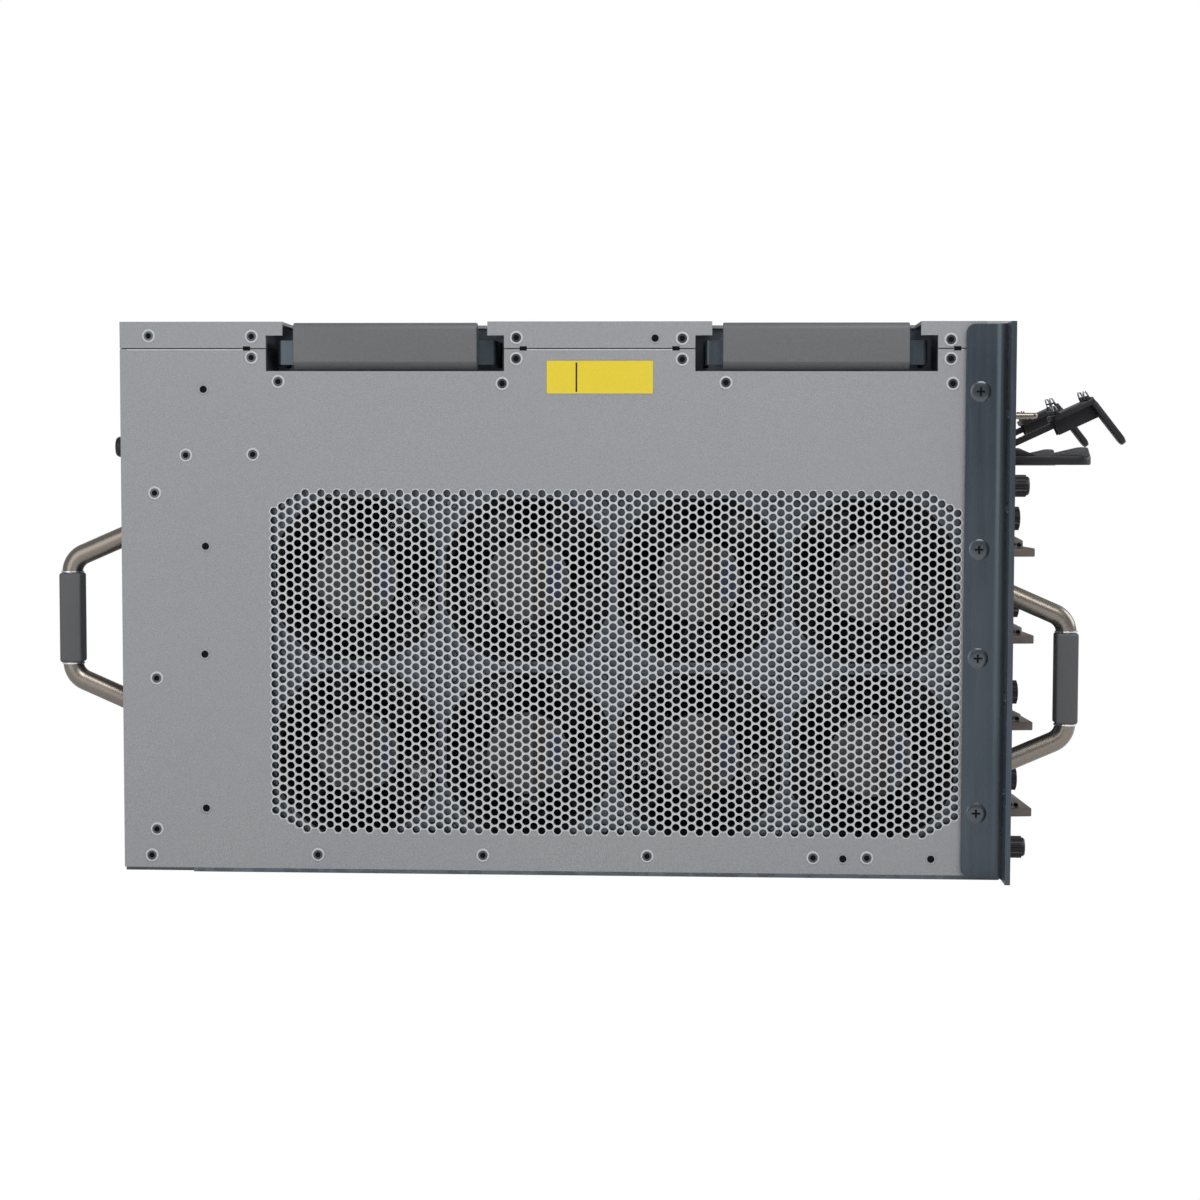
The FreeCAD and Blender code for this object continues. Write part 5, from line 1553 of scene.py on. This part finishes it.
@dataclass
class PowerSupply:
    """Dressing of one power supply and of the fittings on its face. Sizes are in millimetres."""

    hardware: Hardware
    bay: int
    bottom: float = 198.3
    first_left: float = -216.85
    pitch: float = 109.1
    fan_place: Point = (25.0, 0.7, 21.3)
    guard_rings: tuple[float, ...] = (5.0, 9.4, 13.8, 18.2)
    guard_bar: float = 14.4
    inlet: float = 64.5
    latch_pivot: Point = (47.0, 4.0, 2.2)
    latch_half: float = 9.5
    latch_tip: float = -42.5
    bail_pivot: Point = (94.0, 3.2, 25.3)
    bail_half: float = 7.5
    bail_reach: float = 21.8
    arm_foot: Point = (72.0, 0.0, 3.5)
    arm_angle: float = 25.0
    cradle_run: float = 47.0
    deck: float = 6.3
    tongue_root: Point = (58.0, 6.3, -7.55)
    tongue_drop: float = 52.0

    def at(self, across: float, out: float, up: float) -> Vector:
        """Return a place from the face's lower left corner: across, out to the front, and up."""
        return mm(self.first_left + (self.bay - 1) * self.pitch + across, FRONT_FACE - out, self.bottom + up)

    def on_arm(self, run: float, rise: float, across: float = 0.0) -> Vector:
        """Return a place along the sloping arm, square to it and to the right of it.

        Args:
            run: how far up the arm, from its foot.
            rise: how far off the arm, square to it.
            across: how far to the right.

        Returns:
            The place.
        """
        angle = math.radians(self.arm_angle)
        return self.at(*self.arm_foot) + mm(across, rise * math.sin(angle) - run * math.cos(angle),
                                            run * math.sin(angle) + rise * math.cos(angle))

    def build(self) -> None:
        """Dress the supply."""
        self.fan_guard()
        self.mains_inlet()
        self.latch()
        self.bail()
        self.cradle()
        body = f"power_supply_{self.bay}"
        ridge = prism("ridge", [mm(-2.6, 0.5, 0), mm(-2.6, -0.5, 0.22), mm(-2.6, -0.6, 0)], mm(5.2, 0, 0))
        settle(ridge, turn=(-math.radians(self.arm_angle), 0.0, 0.0))
        places = [self.on_arm(run, 3.0) for run in range(6, 35, 2)]
        dress(scattered(f"arm_ridges_{self.bay}", ridge, places), BLACK, body)
        corners = [self.at(x, 0, z) for x in (3.6, 102.6) for z in (3.6, 39)]
        screws = scattered(f"psu_screws_{self.bay}", self.hardware.cross_screw(2.0, 0.6), corners, Facing.FRONT)
        dress(screws, STEEL, body)
        lamps = [block("psu_lamp", self.at(99.5, 0.4, z), self.at(102.5, 0, z + 1.4), 0.2 * MM) for z in (12, 17)]
        dress(joined(f"psu_lamps_{self.bay}", lamps), GREEN_LAMP, body)

    def fan_guard(self) -> None:
        """Build the wire guard in front of the fan: rings on two crossed bars."""
        centre, bar = self.at(*self.fan_place), self.guard_bar
        wires = [tube("guard_ring", arc(centre, mm(radius, 0, 0), mm(0, 0, radius), (0, 360), 48), 0.7 * MM, 10)
                 for radius in self.guard_rings]
        wires += [tube("guard_bar", [centre + mm(-bar, 0.4, -rise), centre + mm(bar, 0.4, rise)], 0.8 * MM, 10)
                  for rise in (-bar, bar)]
        dress(joined(f"fan_guard_{self.bay}", wires), NICKEL, f"power_supply_{self.bay}")

    def mains_inlet(self) -> None:
        """Build the mains inlet: a raised rim round the recess, and three blades inside it."""
        centre, body = self.inlet, f"power_supply_{self.bay}"
        rim = block("inlet_rim", self.at(centre - 15.5, 1.2, 16), self.at(centre + 15.5, 0, 39), 0.6 * MM)
        cut(rim, block("inlet_mouth", self.at(centre - 12.6, 3, 18.6), self.at(centre + 12.6, -2, 36.4), 2.0 * MM))
        dress(rim, BLACK, body)
        blades = [block("blade", self.at(centre + x - 1, -4, z - 3), self.at(centre + x + 1, -16, z + 3), 0.3 * MM)
                  for x, z in ((-7, 24.5), (0, 30.5), (7, 24.5))]
        dress(joined(f"inlet_blades_{self.bay}", blades), BRIGHT, body)

    def latch(self) -> None:
        """Build the black release lever with its rounded tip, its root's ramp and its textured inlay."""
        node, pivot, half = f"psu_latch_{self.bay}", self.at(*self.latch_pivot), self.latch_half
        plate = self.tongue(f"{node}_made", half, (-1.2, self.latch_tip), (-2.2, 2.2), 0.7)
        barrel = turned("barrel", [(0.0022, -0.0095), (0.0022, 0.0095)], None, Facing.RIGHT, 28)
        body = joined(f"{node}_made", [plate, barrel])
        cut(body, turned("pin_hole", [(0.00105, -0.0105), (0.00105, 0.0105)], None, Facing.RIGHT, 24))
        dress(settle(body, pivot), BLACK, node, node)
        tops = (("pad", TEXTURED, 0.6, ((-22, 1.9), (-25, 3.8), (-37, 6.6), (-40, 6.4), (-41.4, 1.9))),
                ("ramp", BLACK, 0.5, ((-3, 1.9), (-3, 5.5), (-6, 6.2), (-16, 1.9))))
        for kind, finish, bevel, profile in tops:
            points = [mm(2 - half, run, rise) for run, rise in profile]
            piece = prism(f"{node}_{kind}", points, mm(half * 2 - 4, 0, 0), bevel * MM)
            dress(settle(piece, pivot), finish, node)

    def tongue(self, name: str, half: float, ends: Pair, faces: Pair, bevel: float) -> bpy.types.Object:
        """Model a flat tongue that runs to the front and ends in a half round.

        Args:
            name: the piece's name.
            half: half its width.
            ends: where its root and its tip are.
            faces: its lower and its upper face.
            bevel: the rounding of its edges.

        Returns:
            The tongue.
        """
        (root, tip), (low, high) = ends, faces
        depth = half * 0.8
        points = arc(mm(0, tip + depth, low), mm(-half, 0, 0), mm(0, -depth, 0), (0, 180), 16)
        return prism(name, [mm(-half, root, low), *points, mm(half, root, low)], mm(0, 0, high - low), bevel * MM)

    def bail(self) -> None:
        """Build the wire bail with rounded bends."""
        node, pivot, half, out = f"psu_bail_{self.bay}", self.at(*self.bail_pivot), self.bail_half, -self.bail_reach
        corners = ((-half - 4, 0), (-half, 0), (-half, out), (half, out), (half, 0), (half + 4, 0))
        path = [pivot + point for point in rounded([mm(x, y, 0) for x, y in corners], 1.6 * MM, 6)]
        dress(tube(f"{node}_made", path, 1.5 * MM, 16), NICKEL, node, node, 45)

    def cradle(self) -> None:
        """Build the cradle's deck, skirts, tongue and inlay, its eyelets with their walls, and its button."""
        node, deck = f"cord_cradle_{self.bay}", self.deck
        tilt = (-math.radians(self.arm_angle), 0.0, 0.0)
        drop = (math.radians(self.tongue_drop), 0.0, 0.0)
        parts = [block("cradle_deck", mm(-12, -11, 3.3), mm(12, 11, deck), 0.6 * MM)]
        parts += [block("cradle_skirt", mm(x - 0.75, -11, -4), mm(x + 0.75, 11, 3.6)) for x in (-4.05, 4.05)]
        for part in parts:
            settle(part, self.on_arm(self.cradle_run, 0), tilt)
        root = self.on_arm(*self.tongue_root)
        parts.append(settle(self.tongue("cradle_tongue", 4.25, (1.0, -28.0), (-3.0, 0.0), 0.8), root, drop))
        dress(joined(f"{node}_made", parts), BLACK, node, node)
        loops, walls = [], []
        for run in (38.5, 55.5):
            centre = self.on_arm(run, deck + 2.2)
            along, square = self.on_arm(run + 0.9, deck + 2.2) - centre, self.on_arm(run, deck + 4.8) - centre
            loops += [tube("eyelet", arc(centre + mm(across, 0, 0), along, square, (0, 360), 16), 0.5 * MM, 8)
                      for across in (-8.0, 8.0)]
            wall = block("eyelet_wall", mm(-11.5, -1.0, deck - 0.3), mm(11.5, 1.0, deck + 2.0), 0.4 * MM)
            walls.append(settle(wall, self.on_arm(run, 0), tilt))
        dress(joined(f"cradle_eyelets_{self.bay}", loops), BRIGHT, node)
        dress(joined(f"cradle_walls_{self.bay}", walls), BLACK, node)
        profile = [(0.0022, 0.0), (0.0022, 0.0015), (0.0045, 0.0025), (0.0045, 0.0035), (0.0035, 0.0045),
                   (0.0015, 0.0049)]
        button = turned("latch_button", profile, None, Facing.DOWN, 28)
        dress(settle(button, self.on_arm(self.cradle_run, 3.4, 8.2), tilt), BLACK, node)
        inlay = self.tongue(f"tongue_inlay_{self.bay}", 3.3, (-2.5, -26.6), (-0.2, 0.25), 0.1)
        dress(settle(inlay, root, drop), TEXTURED, node)


@dataclass
class Covers:
    """Fasteners of the cover and of the rear panel. Sizes are in millimetres."""

    hardware: Hardware
    lid: float = 265.9
    rear: float = 212.5
    knob_place: Pair = (-196.0, 206.2)

    def build(self) -> None:
        """Build the screws of the lid and the rear, and the rear captive knob."""
        tops = [mm(x, y, self.lid) for x in (-196, 196) for y in (-196, 0, 200)]
        dress(scattered("lid_screws", self.hardware.cross_screw(2.6, 0.0), tops), STEEL, "chassis")
        backs = [mm(x, self.rear, z) for x in (-150, -30, 90, 205) for z in (12, 130, 248)]
        dress(scattered("rear_screws", self.hardware.cross_screw(2.6, 0.9), backs, Facing.REAR), STEEL, "chassis")
        profile = [(0.0036, 0.0), (0.0036, 0.0012), (0.0050, 0.0016), (0.0050, 0.0068), (0.0044, 0.0078),
                   (0.0020, 0.0080)]
        place = mm(self.knob_place[0], self.rear, self.knob_place[1])
        dress(turned("rear_knob_made", profile, place, Facing.REAR, 36), BLACK, "chassis")


@dataclass
class Studio:
    """Pale floor and backdrop, lights and the camera. Sizes are in metres."""

    camera_place: Point = (-1.2876, -0.0693, 0.1952)
    camera_look: Point = (0.9972, 0.0471, -0.0579)
    camera_roll: float = 0.0022
    lens: float = 67.1
    floor_size: float = 12.0

    def build(self) -> None:
        """Build the surroundings."""
        bpy.context.scene.view_settings.view_transform = "Standard"
        self.floor()
        self.backdrop()
        self.lamps()
        self.camera()

    def split(self, tree: bpy.types.NodeTree, lit: bpy.types.NodeSocket, seen: bpy.types.NodeSocket,
              output: str) -> None:
        """Give light one shader and the camera another.

        Args:
            tree: the node tree.
            lit: the shader that light meets.
            seen: the shader that the camera sees.
            output: the name of the tree's output node.
        """
        ray = add_node(tree, "LightPath").outputs["Is Camera Ray"]
        mix = add_node(tree, "MixShader", {0: ray, 1: lit, 2: seen})
        fill(tree, tree.nodes[output], {"Surface": mix.outputs["Shader"]})

    def floor(self) -> None:
        """Lay a wide floor, pale to the light and white to the camera."""
        plane = fresh("studio_floor", bpy.ops.mesh.primitive_plane_add, size=self.floor_size)
        material = bpy.data.materials.new("Studio white")
        material.use_nodes = True
        tree = material.node_tree
        shader = tree.nodes["Principled BSDF"]
        fill(tree, shader, {"Base Color": (0.9, 0.9, 0.9, 1.0), "Roughness": 0.9})
        glow = add_node(tree, "Emission", {"Color": (1.0, 1.0, 1.0, 1.0)})
        self.split(tree, shader.outputs["BSDF"], glow.outputs["Emission"], "Material Output")
        plane.data.materials.append(material)

    def backdrop(self) -> None:
        """Make the world soft grey for the light and white for the camera."""
        world = bpy.context.scene.world = bpy.data.worlds.new("Studio")
        world.use_nodes = True
        tree = world.node_tree
        soft = tree.nodes["Background"]
        fill(tree, soft, {"Color": (0.85, 0.88, 0.92, 1.0), "Strength": 0.55})
        white = add_node(tree, "Background", {"Color": (1.0, 1.0, 1.0, 1.0)})
        self.split(tree, soft.outputs["Background"], white.outputs["Background"], "World Output")

    def lamps(self) -> None:
        """Place a broad soft lamp over the left side, a fill lamp behind it and one before the front."""
        lamps = (
            ("key_lamp", (-1.6, -0.6, 1.7), (-0.1, 0.0, 0.12), 1.2, 26.0),
            ("fill_lamp", (-1.9, 1.2, 0.7), (-0.2, 0.0, 0.12), 1.6, 12.0),
            ("front_lamp", (0.5, -2.2, 1.1), (0.0, -0.2, 0.12), 1.4, 22.0),
        )
        for name, place, aim, size, power in lamps:
            lamp = fresh(name, bpy.ops.object.light_add, type="AREA", location=place)
            lamp.data.size = size
            lamp.data.energy = power
            lamp.rotation_euler = (Vector(aim) - Vector(place)).to_track_quat("-Z", "Y").to_euler()

    def camera(self) -> None:
        """Place the camera, looking at the left side."""
        camera = fresh("Camera", bpy.ops.object.camera_add, location=self.camera_place)
        camera.data.lens = self.lens
        turn = Vector(self.camera_look).to_track_quat("-Z", "Y").to_matrix().to_4x4()
        camera.rotation_euler = (turn @ Matrix.Rotation(self.camera_roll, 4, "Z")).to_euler()
        bpy.context.scene.camera = camera


# The galvanised and fan finishes here carry painted shade in their darkened colours.
PAINTS = {
    "top_cover": POWDER, "cover_skirts": POWDER, "front_header": HEADER, "bottom_pan": SHADED_GALVANISED, "rear_panel": POWDER,
    "fan_bay_partition": SHADED_GALVANISED, "card_guides": BLACK, "psu_cage": SHADED_GALVANISED, "backplane": BOARD,
    "rack_bracket_left": DARK_ZINC, "rack_bracket_right": DARK_ZINC, "handle_pockets": SHADED_GALVANISED,
    "psu_blanks": HEADER, "fan_tray_frame": SHADED_GALVANISED, "fan_housings": SHADED_FAN, "tray_handles": NICKEL,
    "handle_sleeves": SLEEVE, "tray_thumbscrews": BLACK,
}
BAY_PAINTS = {"psu_case": SHADED_GALVANISED, "psu_rotor": SHADED_FAN, "psu_latch": BLACK, "psu_bail": BRIGHT,
              "cord_arm": BLACK, "cord_cradle": BLACK}


def paint_construction() -> None:
    """Give every construction node its finish, whether it stays in view or not."""
    finishes = dict(PAINTS)
    for side in ("left", "right"):
        for place in ("front", "rear"):
            finishes |= {f"lift_strap_{side}_{place}": SHADED_GALVANISED, f"lift_grip_{side}_{place}": GRIP}
        finishes |= {f"card_lever_{slot}_{side}": CAST for slot in CARDS}
    finishes |= {f"fan_rotor_{row}_{column}": SHADED_FAN for row in ("lower", "upper") for column in COLUMNS}
    finishes |= dict.fromkeys(CARDS.values(), FACE)
    finishes |= {f"{kind}_{bay}": finish for bay in BAYS for kind, finish in BAY_PAINTS.items()}
    for node, finish in finishes.items():
        paint(node, finish)


def main() -> None:
    """Build every sub-assembly in order."""
    logging.basicConfig(level=logging.INFO, format="%(name)s: %(message)s")
    paint_construction()
    hardware = Hardware()
    supplies = [PowerSupply(hardware, bay) for bay in BAYS]
    for part in (PunchedWalls(), SideDetails(hardware), RackBrackets(hardware), LiftHandles(), FanTray(hardware),
                 Cards(hardware), BoardParts(), *supplies, Covers(hardware), Studio()):
        LOG.info("building %s", type(part).__name__)
        part.build()


if __name__ == "__main__":
    main()
